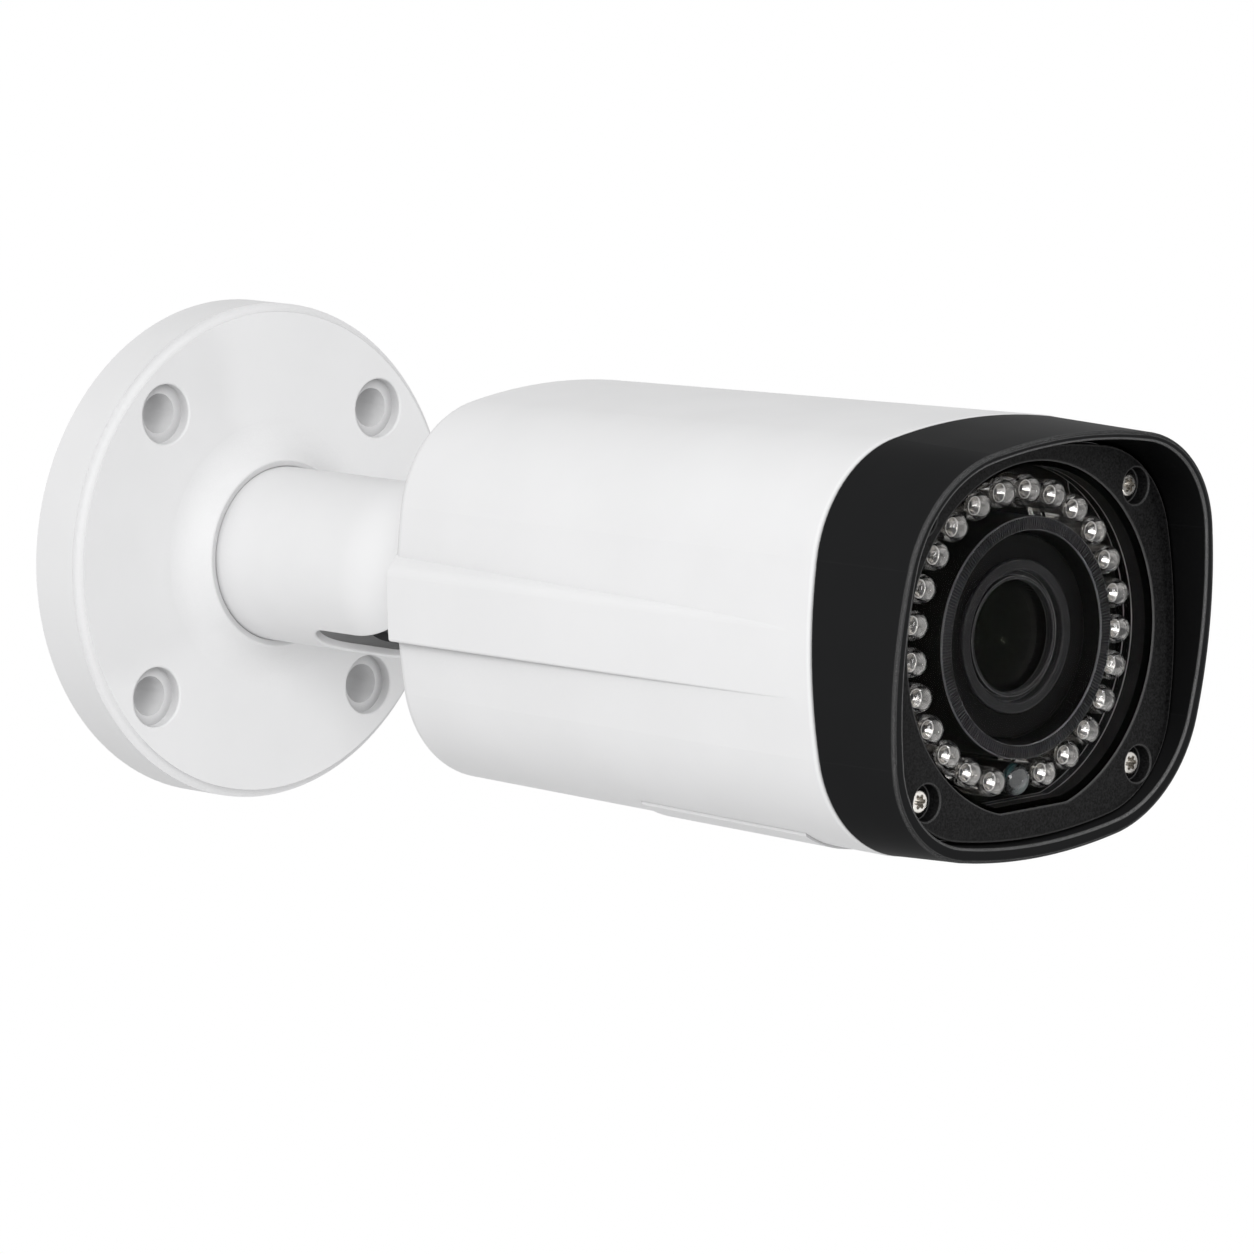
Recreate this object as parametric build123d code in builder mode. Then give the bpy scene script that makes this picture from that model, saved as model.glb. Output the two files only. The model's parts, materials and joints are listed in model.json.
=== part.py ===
"""Outdoor bullet camera on a round wall base, built as separate sub-parts.

Millimetres. The wall is the plane Y = 0, the camera looks along -Y and +Z is up.
A station h is the distance from the wall, so station h lies at Y = -h.
"""

import os
from math import cos, pi, radians, sin, sqrt

from build123d import *

os.makedirs("parts", exist_ok=True)

# Fits and gaps
run_fit = 0.05
side_gap = 0.3
seam_gap = 0.2
slip = 0.1
soft_edge = 0.4
fine_edge = 0.25
seam_edge = 1.0

# Wall base
base_r = 45.0
base_t = 11.5
base_edge = 1.5
wall_edge = 9.0
wall_pcd = 2 * (base_r - wall_edge)
wall_holes = 4
wall_start = 40.7
wall_hole_r = 3.6
wall_cbore_r = 5.4
wall_cbore_depth = 2.2
wall_boss_r = 7.6
base_skin = 3.5
seal_edge = 1.2
seal_w = 1.6
seal_depth = 1.2
seal_out_r = base_r - seal_edge
seal_in_r = seal_out_r - seal_w
pocket_out_r = seal_in_r - seal_edge
pocket_depth = base_t - base_skin

# Swivel neck, its retainer and the collar round it
neck_r = 15.75
neck_wall = 1.5
neck_bore_r = neck_r - neck_wall
neck_flange_w = 3.45
neck_flange_r = neck_r + neck_flange_w
neck_seat_h = 3.2
neck_flange_t = 3.0
washer_t = 0.8
neck_turn = 30.0
retainer_w = 6.8
retainer_r = neck_flange_r + retainer_w
retainer_t = 2.0
retainer_bore_r = neck_bore_r + 0.75
retainer_pcd_r = retainer_r - 3.0
retainer_screws_n = 3
retainer_screw_r = 1.4
retainer_head_r = 2.4
pocket_in_r = retainer_r + 3.0
collar_lip_r = neck_r + 1.25
collar_r = neck_r + 7.75
collar_rise = 3.8
collar_h = base_t + collar_rise
collar_flare = ((collar_r - collar_lip_r) ** 2 + collar_rise**2) / (2 * collar_rise)

# Tilt joint
pivot_h = 48.0
paddle_t = 8.6
paddle_w = 2 * neck_bore_r - 0.9
slot_w = paddle_t + 2 * side_gap
slot_end_h = pivot_h - 13.5
cheek_r = 8.0
cheek_out = neck_bore_r - 0.75
cheek_pad_r = 5.0
tilt_screw_r = 2.5
tilt_head_r = 3.6
tilt_head_in = cheek_out - 0.3
tilt_head_out = neck_r - 0.55
channel_w = paddle_t - 3.2
channel_top = 4.3
throat_h = pivot_h + neck_r + side_gap

# Housing section: bulged sides, rounded corners, tapering to the rear
rear_h = 85.5
seam_h = 189.0
body_half_w = 38.4
body_half_h = 36.4
side_r = 95.0
top_r = 110.0
corner_r = 22.5
body_draft = 2.0
body_rise = 2.2
wall = 3.0
rear_wall = 3.0
rear_edge = 2.0
band_low = 6.9
band_high = 5.4
band_stop = 4.0
band_low_round = 0.6
band_high_round = 3.0

# Arm and roll joint
arm_flange_r = 14.0
arm_flange_t = 4.0
stem_r = 9.5
stem_l = 11.5
stem_end_h = rear_h + stem_l
cable_bore_r = stem_r - 5.0
cable_hole_r = 2.6
roll_seal_t = 0.8
roll_washer_r = stem_r + 3.5
nut_r = stem_r + 4.5
nut_t = 6.0

# Front hood, plate and window
hood_step = 0.15
plate_reach = 13.2
plate_t = 4.2
rim_reach = 5.5
plate_h = seam_h + plate_reach
shelf_h = plate_h - plate_t
rim_h = plate_h + rim_reach
rim_lean = 0.12
rim_inset = 0.85
rim_wall = 2.0
rim_out_edge = 0.5
rim_in_edge = 0.3
hood_end_h = rim_h + 1.5 * rim_lean * body_half_h
shelf_t = 2.0
plate_inset = 3.75
spigot_l = 4.0
spigot_t = 1.8
window_r = min(body_half_w - 9.1, body_half_h - 7.1)
window_flat = window_r - 1.1
window_corner = 3.0
window_lip = 0.3
glass_t = 1.0
glass_over = 1.0
gasket_over = 0.9
shelf_under = 0.9
front_seal_in = 2.0
front_seal_out = 1.0
front_seal_t = 0.8
front_x = body_half_w - 13.2
front_z = body_half_h - 13.0
front_recess_r = 3.1
front_recess = 2.6
front_head_r = 2.2
front_head_t = 1.0
front_screw_r = 1.5
front_screw_l = 22.0
front_boss_r = 4.0
front_boss_l = 18.0
web_reach = 1.06

# Lamp board and lens shield
lens_rise = 0.7
board_t = 1.6
lamp_board_h = seam_h - 0.6
lamp_ring_r = window_r - 5.0
lamp_pitch = 6.1
lamp_count = int(2 * pi * lamp_ring_r / lamp_pitch) - 1
lamp_r = 2.5
lamp_flange_r = lamp_r + 0.4
lamp_gap = 0.3
sensor_ring_r = lamp_ring_r - 0.4
sensor_r = 2.75
shield_r = lamp_ring_r - 4.2
shield_bore_r = shield_r - 2.3

# Lens, from its front face back to the image sensor
lens_in = 3.1
barrel_front_h = plate_h - window_lip - glass_t - lens_in
bezel_r = shield_bore_r - 0.7
barrel_r = bezel_r - 4.3
barrel_bore_r = barrel_r - 2.6
ring_gap = 0.2
ring_r = barrel_r + 3.4
collar_rim_r = barrel_r + 1.2
ring_l = 10.0
focus_h = barrel_front_h - ring_l - 12.6
zoom_h = focus_h - ring_l - 6.0
front_lens_r = barrel_bore_r - 0.9
front_bulge = 1.8
front_hollow = 1.4
lens_edge_t = 4.2
rear_lens_r = 6.0
lens_seat_h = barrel_front_h - 1.4

# Boards behind the lens
stack_x = body_half_w - 14.4
stack_z = body_half_h - 20.4
main_board_h = rear_h + 0.256 * (seam_h - rear_h)
sensor_board_h = zoom_h - 19.0
boss_r = 3.2
mount_front_h = sensor_board_h + 14.0
filter_h = sensor_board_h + 6.5
filter_t = 1.2
filter_pitch = 11.2

# Access cover in the underside
cover_half_w = body_half_w - 11.4
cover_seam = 13.0
cover_l = 39.0
cover_h1 = seam_h - cover_seam
cover_h0 = cover_h1 - cover_l
cover_mid_h = (cover_h0 + cover_h1) / 2
cover_proud = 0.4
cover_in = 1.2
cover_seat = 1.6
hatch_half_w = cover_half_w - 7.0
hatch_h0 = cover_h0 + 6.0
hatch_h1 = cover_h1 - 6.0
cover_screw_h = (cover_h0 + 3.0, cover_h1 - 3.0)
io_board_z = body_rise - body_half_h + 10.2
io_post_x = hatch_half_w + 4.0
io_post_h = (cover_mid_h - 5.5, cover_mid_h + 6.5)

# Axes and frames
forward = (0, -1, 0)
turn = radians(neck_turn)
tilt_dir = (cos(turn), 0, -sin(turn))
slot_dir = (-sin(turn), 0, -cos(turn))
neck_frame = Plane(origin=(0, 0, 0), x_dir=tilt_dir, z_dir=forward)
slot_frame = Plane(origin=(0, 0, 0), x_dir=tilt_dir, z_dir=slot_dir)
pin_frame = Plane(origin=(0, -pivot_h, 0), x_dir=forward, z_dir=tilt_dir)
tilt_axis = Axis((0, -pivot_h, 0), tilt_dir)
lens_z = body_rise + lens_rise
lens_axis = Axis((0, 0, lens_z), (0, 1, 0))

# Stations that follow from the sizes above
flange_end_h = neck_seat_h + neck_flange_t
base_seat_h = flange_end_h + washer_t
arm_front_h = rear_h - roll_seal_t
nut_h = rear_h + rear_wall + washer_t
glass_front_h = plate_h - window_lip
glass_rear_h = glass_front_h - glass_t
lamp_seat_h = lamp_board_h + board_t
lamp_l = glass_rear_h - lamp_gap - lamp_seat_h
front_floor_h = plate_h - front_recess
front_spots = [(x, z + body_rise) for x in (-front_x, front_x) for z in (-front_z, front_z)]
stack_spots = [(x, z + body_rise) for x in (-stack_x, stack_x) for z in (-stack_z, stack_z)]
io_spots = [(x, -h) for x in (-io_post_x, io_post_x) for h in io_post_h]

# Corner circle of the section, which every inset shares
side_c = body_half_w - side_r
top_c = body_half_h - top_r
reach_1 = side_r - corner_r
reach_2 = top_r - corner_r
span = sqrt(side_c**2 + top_c**2)
along = (reach_1**2 - reach_2**2 + span**2) / (2 * span)
across = sqrt(reach_1**2 - along**2)
corner_x = side_c - side_c / span * along - top_c / span * across
corner_z = top_c / span * along - side_c / span * across
dir_1 = ((corner_x - side_c) / reach_1, corner_z / reach_1)
dir_2 = (corner_x / reach_2, (corner_z - top_c) / reach_2)
mid_l = sqrt((dir_1[0] + dir_2[0]) ** 2 + (dir_1[1] + dir_2[1]) ** 2)
dir_m = ((dir_1[0] + dir_2[0]) / mid_l, (dir_1[1] + dir_2[1]) / mid_l)


def draft_at(h):
    """Return how far the housing has tapered in at station h."""
    return body_draft * (seam_h - h) / (seam_h - rear_h)


def bottom_z(h, inset):
    """Return the height of the housing's lowest line at station h, inset inwards."""
    return body_rise - body_half_h + draft_at(h) + inset


def section(h, inset):
    """Return the housing section at station h, inset from its size at the seam."""
    rc = corner_r - inset
    p1, pm, p2 = [(corner_x + d[0] * rc, corner_z + d[1] * rc) for d in (dir_1, dir_m, dir_2)]
    half_w = body_half_w - inset
    half_h = body_half_h - inset
    up = body_rise
    with BuildSketch(Plane.XZ.offset(h)) as outline:
        with BuildLine():
            for s in (-1, 1):
                ThreePointArc((s * p1[0], up - p1[1]), (s * half_w, up), (s * p1[0], up + p1[1]))
                ThreePointArc((-p2[0], up + s * p2[1]), (0, up + s * half_h), (p2[0], up + s * p2[1]))
                for t in (-1, 1):
                    ThreePointArc(
                        (s * p1[0], up + t * p1[1]),
                        (s * pm[0], up + t * pm[1]),
                        (s * p2[0], up + t * p2[1]),
                    )
        make_face()
    return outline.sketch


def shell(inset):
    """Return the two end sections of the tapering housing, inset inwards."""
    return [section(rear_h, body_draft + inset), section(seam_h, inset)]


def discs(h, r, spots=((0, 0),)):
    """Return circles of radius r at station h, one at each (x, z) spot."""
    with BuildSketch(Plane.XZ.offset(h)) as outline:
        with Locations(*spots):
            Circle(r)
    return outline.sketch


def pads(h, w, d, spots=((0, 0),)):
    """Return rectangles w wide and d high at station h, one at each (x, z) spot."""
    with BuildSketch(Plane.XZ.offset(h)) as outline:
        with Locations(*spots):
            Rectangle(w, d)
    return outline.sketch


def window(h, grow):
    """Return the window outline at station h, a circle with a flat bottom, grown outwards."""
    with BuildSketch(Plane.XZ.offset(h)) as outline:
        with Locations((0, lens_z)):
            Circle(window_r + grow)
        with Locations((0, lens_z - window_flat - grow - base_r)):
            Rectangle(4 * base_r, 2 * base_r, mode=Mode.SUBTRACT)
        fillet(outline.vertices(), window_corner + grow)
    return outline.sketch


def turned(outline, z=0.0):
    """Return a profile of (station, radius) pairs for turning about the axis at height z."""
    with BuildSketch(Plane.XY.offset(z)) as profile:
        with BuildLine():
            Polyline(*[(r, -h) for h, r in outline], close=True)
        make_face()
    return profile.sketch


def sag(r, depth):
    """Return how far a ball face, depth deep at radius r, has dropped at half that radius."""
    ball = (r**2 + depth**2) / (2 * abs(depth))
    drop = ball - sqrt(ball**2 - r**2 / 4)
    return drop if depth > 0 else -drop


def lens_profile(r, edge_0, edge_1, bulge_0, bulge_1):
    """Return a lens profile with rim stations edge_0 and edge_1 and axis stations bulge_0 and bulge_1."""
    m0 = bulge_0 + sag(r, edge_0 - bulge_0)
    m1 = bulge_1 + sag(r, edge_1 - bulge_1)
    with BuildSketch(Plane.XY.offset(lens_z)) as profile:
        with BuildLine():
            Line((0, -bulge_0), (0, -bulge_1))
            ThreePointArc((0, -bulge_1), (r / 2, -m1), (r, -edge_1))
            Line((r, -edge_1), (r, -edge_0))
            ThreePointArc((r, -edge_0), (r / 2, -m0), (0, -bulge_0))
        make_face()
    return profile.sketch


def floor(z, w, l, spots):
    """Return rectangles on a level plane at height z, l along the camera, at (x, -h) spots."""
    with BuildSketch(Plane.XY.offset(z)) as outline:
        with Locations(*spots):
            Rectangle(w, l)
    return outline.sketch


def dots(z, r, spots):
    """Return circles on a level plane at height z, at (x, -h) spots."""
    with BuildSketch(Plane.XY.offset(z)) as outline:
        with Locations(*spots):
            Circle(r)
    return outline.sketch


def ring_spots(r, count, start):
    """Return count (x, z) spots on a circle, the first at start degrees."""
    step = 360 / count
    angles = [radians(start + i * step) for i in range(count)]
    return [(r * cos(a), r * sin(a)) for a in angles]


def rims(builder, h, r):
    """Return the circular edges of radius r at station h of a part that is being built."""
    rings = builder.edges().filter_by(GeomType.CIRCLE)
    return [e for e in rings if abs(e.radius - r) < 0.01 and abs(e.arc_center.Y + h) < 0.01]


def save(part, name):
    """Label a sub-part and write its file."""
    part.label = name
    export_step(part, f"parts/{name}.step")


wall_spots = ring_spots(wall_pcd / 2, wall_holes, wall_start)
retainer_spots = ring_spots(retainer_pcd_r, retainer_screws_n, 90)

# Wall base: flange with a flared collar, hollow behind, four counterbored holes
with BuildPart() as mounting_base:
    bore_r = neck_r + run_fit
    with BuildSketch(Plane.XY):
        with BuildLine():
            Polyline(
                (collar_r, -base_t),
                (base_r - base_edge, -base_t),
            )
            RadiusArc((base_r - base_edge, -base_t), (base_r, base_edge - base_t), base_edge)
            Polyline(
                (base_r, base_edge - base_t),
                (base_r, 0),
                (retainer_r + side_gap, 0),
                (retainer_r + side_gap, -neck_seat_h),
                (neck_flange_r + side_gap, -neck_seat_h),
                (neck_flange_r + side_gap, -base_seat_h),
                (bore_r, -base_seat_h),
                (bore_r, -collar_h),
                (collar_lip_r, -collar_h),
            )
            RadiusArc((collar_lip_r, -collar_h), (collar_r, -base_t), collar_flare)
        make_face()
    revolve(axis=Axis.Y)
    with BuildSketch(Plane.XZ):
        Circle(pocket_out_r)
        Circle(pocket_in_r, mode=Mode.SUBTRACT)
        with Locations(*wall_spots):
            Circle(wall_boss_r, mode=Mode.SUBTRACT)
    extrude(amount=pocket_depth, mode=Mode.SUBTRACT)
    extrude(discs(0, wall_hole_r, wall_spots), amount=base_t, mode=Mode.SUBTRACT)
    extrude(
        discs(base_t - wall_cbore_depth, wall_cbore_r, wall_spots),
        amount=wall_cbore_depth,
        mode=Mode.SUBTRACT,
    )
    revolve(
        turned([(0, seal_in_r), (seal_depth, seal_in_r), (seal_depth, seal_out_r), (0, seal_out_r)]),
        axis=Axis.Y,
        mode=Mode.SUBTRACT,
    )
    extrude(
        discs(neck_seat_h, retainer_screw_r + run_fit, retainer_spots),
        amount=5.3,
        mode=Mode.SUBTRACT,
    )
    fillet(rims(mounting_base, base_t, wall_cbore_r), soft_edge)
    fillet(rims(mounting_base, collar_h, collar_lip_r), soft_edge)
    fillet(rims(mounting_base, collar_h, bore_r), fine_edge)
save(mounting_base.part, "mounting_base")

with BuildPart() as base_seal:
    revolve(
        turned([(0, seal_in_r), (seal_depth, seal_in_r), (seal_depth, seal_out_r), (0, seal_out_r)]),
        axis=Axis.Y,
    )
save(base_seal.part, "base_seal")

with BuildPart() as neck_retaining_ring:
    extrude(discs(neck_seat_h - retainer_t, retainer_r), amount=retainer_t)
    extrude(
        discs(neck_seat_h - retainer_t, retainer_bore_r), amount=retainer_t, mode=Mode.SUBTRACT
    )
    extrude(
        discs(neck_seat_h - retainer_t, retainer_screw_r + slip, retainer_spots),
        amount=retainer_t,
        mode=Mode.SUBTRACT,
    )
save(neck_retaining_ring.part, "neck_retaining_ring")

with BuildPart() as retaining_screws:
    extrude(discs(0.1, retainer_head_r, retainer_spots), amount=neck_seat_h - retainer_t - 0.1)
    extrude(discs(neck_seat_h - retainer_t, retainer_screw_r, retainer_spots), amount=7.0)
    extrude(pads(0.1, 2.8, 0.5, retainer_spots), amount=0.5, mode=Mode.SUBTRACT)
    extrude(pads(0.1, 0.5, 2.8, retainer_spots), amount=0.5, mode=Mode.SUBTRACT)
save(retaining_screws.part, "retaining_screws")

with BuildPart() as pan_washer:
    extrude(discs(flange_end_h, neck_flange_r), amount=washer_t)
    extrude(discs(flange_end_h, neck_r + slip), amount=washer_t, mode=Mode.SUBTRACT)
save(pan_washer.part, "pan_washer")

# Swivel neck: tube with a domed end, slotted for the arm
with BuildPart() as swivel_neck:
    lean = sqrt(0.5)
    with BuildSketch(Plane.XY):
        with BuildLine():
            Polyline(
                (0, -pivot_h - neck_bore_r),
                (0, -pivot_h - neck_r),
            )
            ThreePointArc(
                (0, -pivot_h - neck_r),
                (neck_r * lean, -pivot_h - neck_r * lean),
                (neck_r, -pivot_h),
            )
            Polyline(
                (neck_r, -pivot_h),
                (neck_r, -flange_end_h),
                (neck_flange_r, -flange_end_h),
                (neck_flange_r, -neck_seat_h),
                (neck_bore_r, -neck_seat_h),
                (neck_bore_r, -pivot_h),
            )
            ThreePointArc(
                (neck_bore_r, -pivot_h),
                (neck_bore_r * lean, -pivot_h - neck_bore_r * lean),
                (0, -pivot_h - neck_bore_r),
            )
        make_face()
    revolve(axis=Axis.Y)
    for side in (-1, 1):
        for pad_r, pad_out in ((cheek_r, cheek_out), (cheek_pad_r, neck_bore_r + 0.3)):
            with BuildSketch(pin_frame.offset(side * slot_w / 2)):
                Circle(pad_r)
            extrude(amount=side * (pad_out - slot_w / 2))
    with BuildSketch(slot_frame):
        with Locations((0, slot_end_h + slot_w / 2)):
            Circle(slot_w / 2)
        with Locations((0, slot_end_h + slot_w / 2 + 20)):
            Rectangle(slot_w, 40)
    extrude(amount=neck_flange_r, mode=Mode.SUBTRACT)
    with BuildSketch(neck_frame.offset(pivot_h)):
        far = paddle_w / 2 + side_gap
        with Locations((0, far - slot_w / 2)):
            Circle(slot_w / 2)
        with Locations((0, far - slot_w / 2 - 20)):
            Rectangle(slot_w, 40)
    extrude(amount=2 * neck_r, mode=Mode.SUBTRACT)
    with BuildSketch(pin_frame.offset(-cheek_out + 0.5)):
        Circle(tilt_screw_r + run_fit)
    extrude(amount=2 * cheek_out, mode=Mode.SUBTRACT)
    with BuildSketch(pin_frame.offset(tilt_head_in)):
        Circle(tilt_head_r + slip)
    extrude(amount=neck_r, mode=Mode.SUBTRACT)
    pivot = Vector(0, -pivot_h, 0)
    skin_edges = []
    for edge in swivel_neck.edges():
        spots = [edge @ t for t in (0.1, 0.5, 0.9)]
        outs = [(p - pivot).length if p.Y < -pivot_h else Vector(p.X, 0, p.Z).length for p in spots]
        on_skin = all(abs(r - neck_r) < 0.01 for r in outs) and edge.length < 2.5 * neck_r
        if on_skin and spots[1].Y < -collar_h and abs(spots[0].Y - spots[1].Y) > 0.01:
            skin_edges.append(edge)
    fillet(skin_edges, soft_edge)
save(swivel_neck.part, "swivel_neck")

with BuildPart() as tilt_screw:
    with BuildSketch(pin_frame.offset(-cheek_out + 1)):
        Circle(tilt_screw_r)
    extrude(amount=cheek_out - 1 + tilt_head_in)
    with BuildSketch(pin_frame.offset(tilt_head_in)):
        Circle(tilt_head_r)
    extrude(amount=tilt_head_out - tilt_head_in)
    with BuildSketch(pin_frame.offset(tilt_head_out - 1.8)):
        RegularPolygon(2.0, 6)
    extrude(amount=1.8, mode=Mode.SUBTRACT)
save(tilt_screw.part, "tilt_screw")

# Tilt arm: rounded paddle in the neck, flange and hollow stem in the housing
with BuildPart() as tilt_arm:
    flat = (paddle_w - paddle_t) / 2
    with BuildSketch(slot_frame):
        with BuildLine():
            Polyline(
                (paddle_t / 2, pivot_h + flat),
                (paddle_t / 2, pivot_h),
                (-paddle_t / 2, pivot_h),
                (-paddle_t / 2, pivot_h + flat),
            )
            ThreePointArc(
                (-paddle_t / 2, pivot_h + flat),
                (0, pivot_h + paddle_w / 2),
                (paddle_t / 2, pivot_h + flat),
            )
        make_face()
    revolve(axis=tilt_axis)
    with BuildSketch(neck_frame.offset(pivot_h)):
        SlotOverall(paddle_w, paddle_t, rotation=90)
    extrude(amount=arm_front_h - arm_flange_t - pivot_h)
    extrude(discs(throat_h, stem_r), amount=arm_front_h - throat_h)
    extrude(discs(arm_front_h - arm_flange_t, arm_flange_r), amount=arm_flange_t)
    extrude(discs(arm_front_h, stem_r), amount=stem_end_h - arm_front_h)
    with BuildSketch(pin_frame.offset(-paddle_t)):
        Circle(tilt_screw_r + run_fit)
    extrude(amount=2 * paddle_t, mode=Mode.SUBTRACT)
    channel_end_h = pivot_h + 24
    with BuildSketch(neck_frame.offset(pivot_h - paddle_w)):
        with Locations((0, -channel_top - 10)):
            Rectangle(channel_w, 20)
    extrude(amount=channel_end_h - pivot_h + paddle_w, mode=Mode.SUBTRACT)
    with BuildSketch(neck_frame.offset(pivot_h + 9)):
        with Locations((0, -10)):
            Rectangle(channel_w, 20)
    extrude(amount=channel_end_h - pivot_h - 9, mode=Mode.SUBTRACT)
    extrude(discs(throat_h + 2, cable_bore_r), amount=stem_end_h, mode=Mode.SUBTRACT)
    fillet(rims(tilt_arm, arm_front_h - arm_flange_t, arm_flange_r), 2 * soft_edge)
    fillet(rims(tilt_arm, arm_front_h, arm_flange_r), soft_edge)
save(tilt_arm.part, "tilt_arm")

with BuildPart() as roll_seal:
    extrude(discs(arm_front_h, roll_washer_r), amount=roll_seal_t)
    extrude(discs(arm_front_h, stem_r), amount=roll_seal_t, mode=Mode.SUBTRACT)
save(roll_seal.part, "roll_seal")

with BuildPart() as roll_washer:
    extrude(discs(rear_h + rear_wall, roll_washer_r), amount=washer_t)
    extrude(discs(rear_h + rear_wall, stem_r), amount=washer_t, mode=Mode.SUBTRACT)
save(roll_washer.part, "roll_washer")

with BuildPart() as arm_lock_nut:
    with BuildSketch(Plane.XZ.offset(nut_h)):
        RegularPolygon(nut_r, 6)
        Circle(stem_r, mode=Mode.SUBTRACT)
    extrude(amount=nut_t)
save(arm_lock_nut.part, "arm_lock_nut")

with BuildPart() as cable_grommet:
    extrude(discs(stem_end_h - 5, cable_bore_r), amount=5)
    extrude(discs(stem_end_h, cable_bore_r + 2), amount=2)
    extrude(discs(stem_end_h - 5, cable_hole_r), amount=7, mode=Mode.SUBTRACT)
save(cable_grommet.part, "cable_grommet")

# Raised bands along both sides, level with the housing near the seam
with BuildPart() as side_bands:
    band_h = rear_h + 0.5
    extrude(section(band_h, draft_at(seam_h - band_stop)), amount=seam_h - band_stop - band_h)
    with BuildSketch(Plane.XZ.offset(rear_h)):
        for side in (-1, 1):
            with BuildLine():
                Polyline(
                    (side * 20, body_rise - band_low),
                    (side * 60, body_rise - band_low),
                    (side * 60, body_rise - band_low + 0.01),
                    (side * body_half_w, body_rise + band_high),
                    (side * 20, body_rise + band_high + body_half_w - 20),
                    close=True,
                )
            make_face()
    extrude(amount=seam_h - rear_h, mode=Mode.INTERSECT)
    for level, round_r in ((-1, band_low_round), (1, band_high_round)):
        lines = side_bands.edges().filter_by(Axis.Y)
        lines = [e for e in lines if abs(e.center().X) > stack_x]
        fillet([e for e in lines if level * (e.center().Z - body_rise) > 0], round_r)
    ends = side_bands.edges().group_by(Axis.Y)[-1]
    fillet([e for e in ends if abs(e.center().X) > stack_x + 8], soft_edge)

# Recess for the access cover, as deep as its seat
with BuildPart() as cover_cut:
    extrude(
        floor(
            -60,
            2 * (cover_half_w + seam_gap),
            cover_h1 - cover_h0 + 2 * seam_gap,
            [(0, -cover_mid_h)],
        ),
        amount=50,
    )
    loft(shell(cover_seat), ruled=True, mode=Mode.SUBTRACT)

# Housing: tapering shell with a closed rear, screw bosses and the access opening
with BuildPart() as housing:
    loft(shell(0), ruled=True)
    fillet(housing.edges().group_by(Axis.Y)[-1], rear_edge)
    add(side_bands.part)
    inner_h = rear_h + rear_wall
    loft(
        [section(inner_h, wall + draft_at(inner_h)), section(seam_h, wall)],
        ruled=True,
        mode=Mode.SUBTRACT,
    )
    front_boss_h = lamp_board_h - front_boss_l
    extrude(discs(front_boss_h, front_boss_r, front_spots), amount=front_boss_l)
    web_spots = [
        (x * web_reach, (z - body_rise) * web_reach + body_rise) for x, z in front_spots
    ]
    web_l = seam_h - spigot_l - 1 - front_boss_h
    extrude(discs(front_boss_h, front_boss_r, web_spots), amount=web_l)
    extrude(discs(inner_h, boss_r, stack_spots), amount=main_board_h - inner_h)
    for h in cover_screw_h:
        extrude(dots(bottom_z(h, 2.0), boss_r, [(0, -h)]), amount=6)
    extrude(dots(io_board_z - 4.5, 2.2, io_spots), amount=4.5)
    add(cover_cut.part, mode=Mode.SUBTRACT)
    extrude(
        floor(-60, 2 * hatch_half_w, hatch_h1 - hatch_h0, [(0, -(hatch_h0 + hatch_h1) / 2)]),
        amount=60 + bottom_z(hatch_h0, wall + 1.5),
        mode=Mode.SUBTRACT,
    )
    extrude(
        discs(front_floor_h - front_screw_l - 1, front_screw_r + run_fit, front_spots),
        amount=front_screw_l,
        mode=Mode.SUBTRACT,
    )
    extrude(discs(main_board_h - 9, front_screw_r, stack_spots), amount=9, mode=Mode.SUBTRACT)
    for h in cover_screw_h:
        extrude(dots(bottom_z(h, 1.0), 1.25 + run_fit, [(0, -h)]), amount=6.5, mode=Mode.SUBTRACT)
    extrude(dots(io_board_z - 3, 0.85, io_spots), amount=3, mode=Mode.SUBTRACT)
    extrude(discs(rear_h, stem_r + run_fit), amount=rear_wall, mode=Mode.SUBTRACT)
    fillet(housing.faces().sort_by(Axis.Y)[0].outer_wire().edges(), seam_edge)
save(housing.part, "housing")

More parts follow.
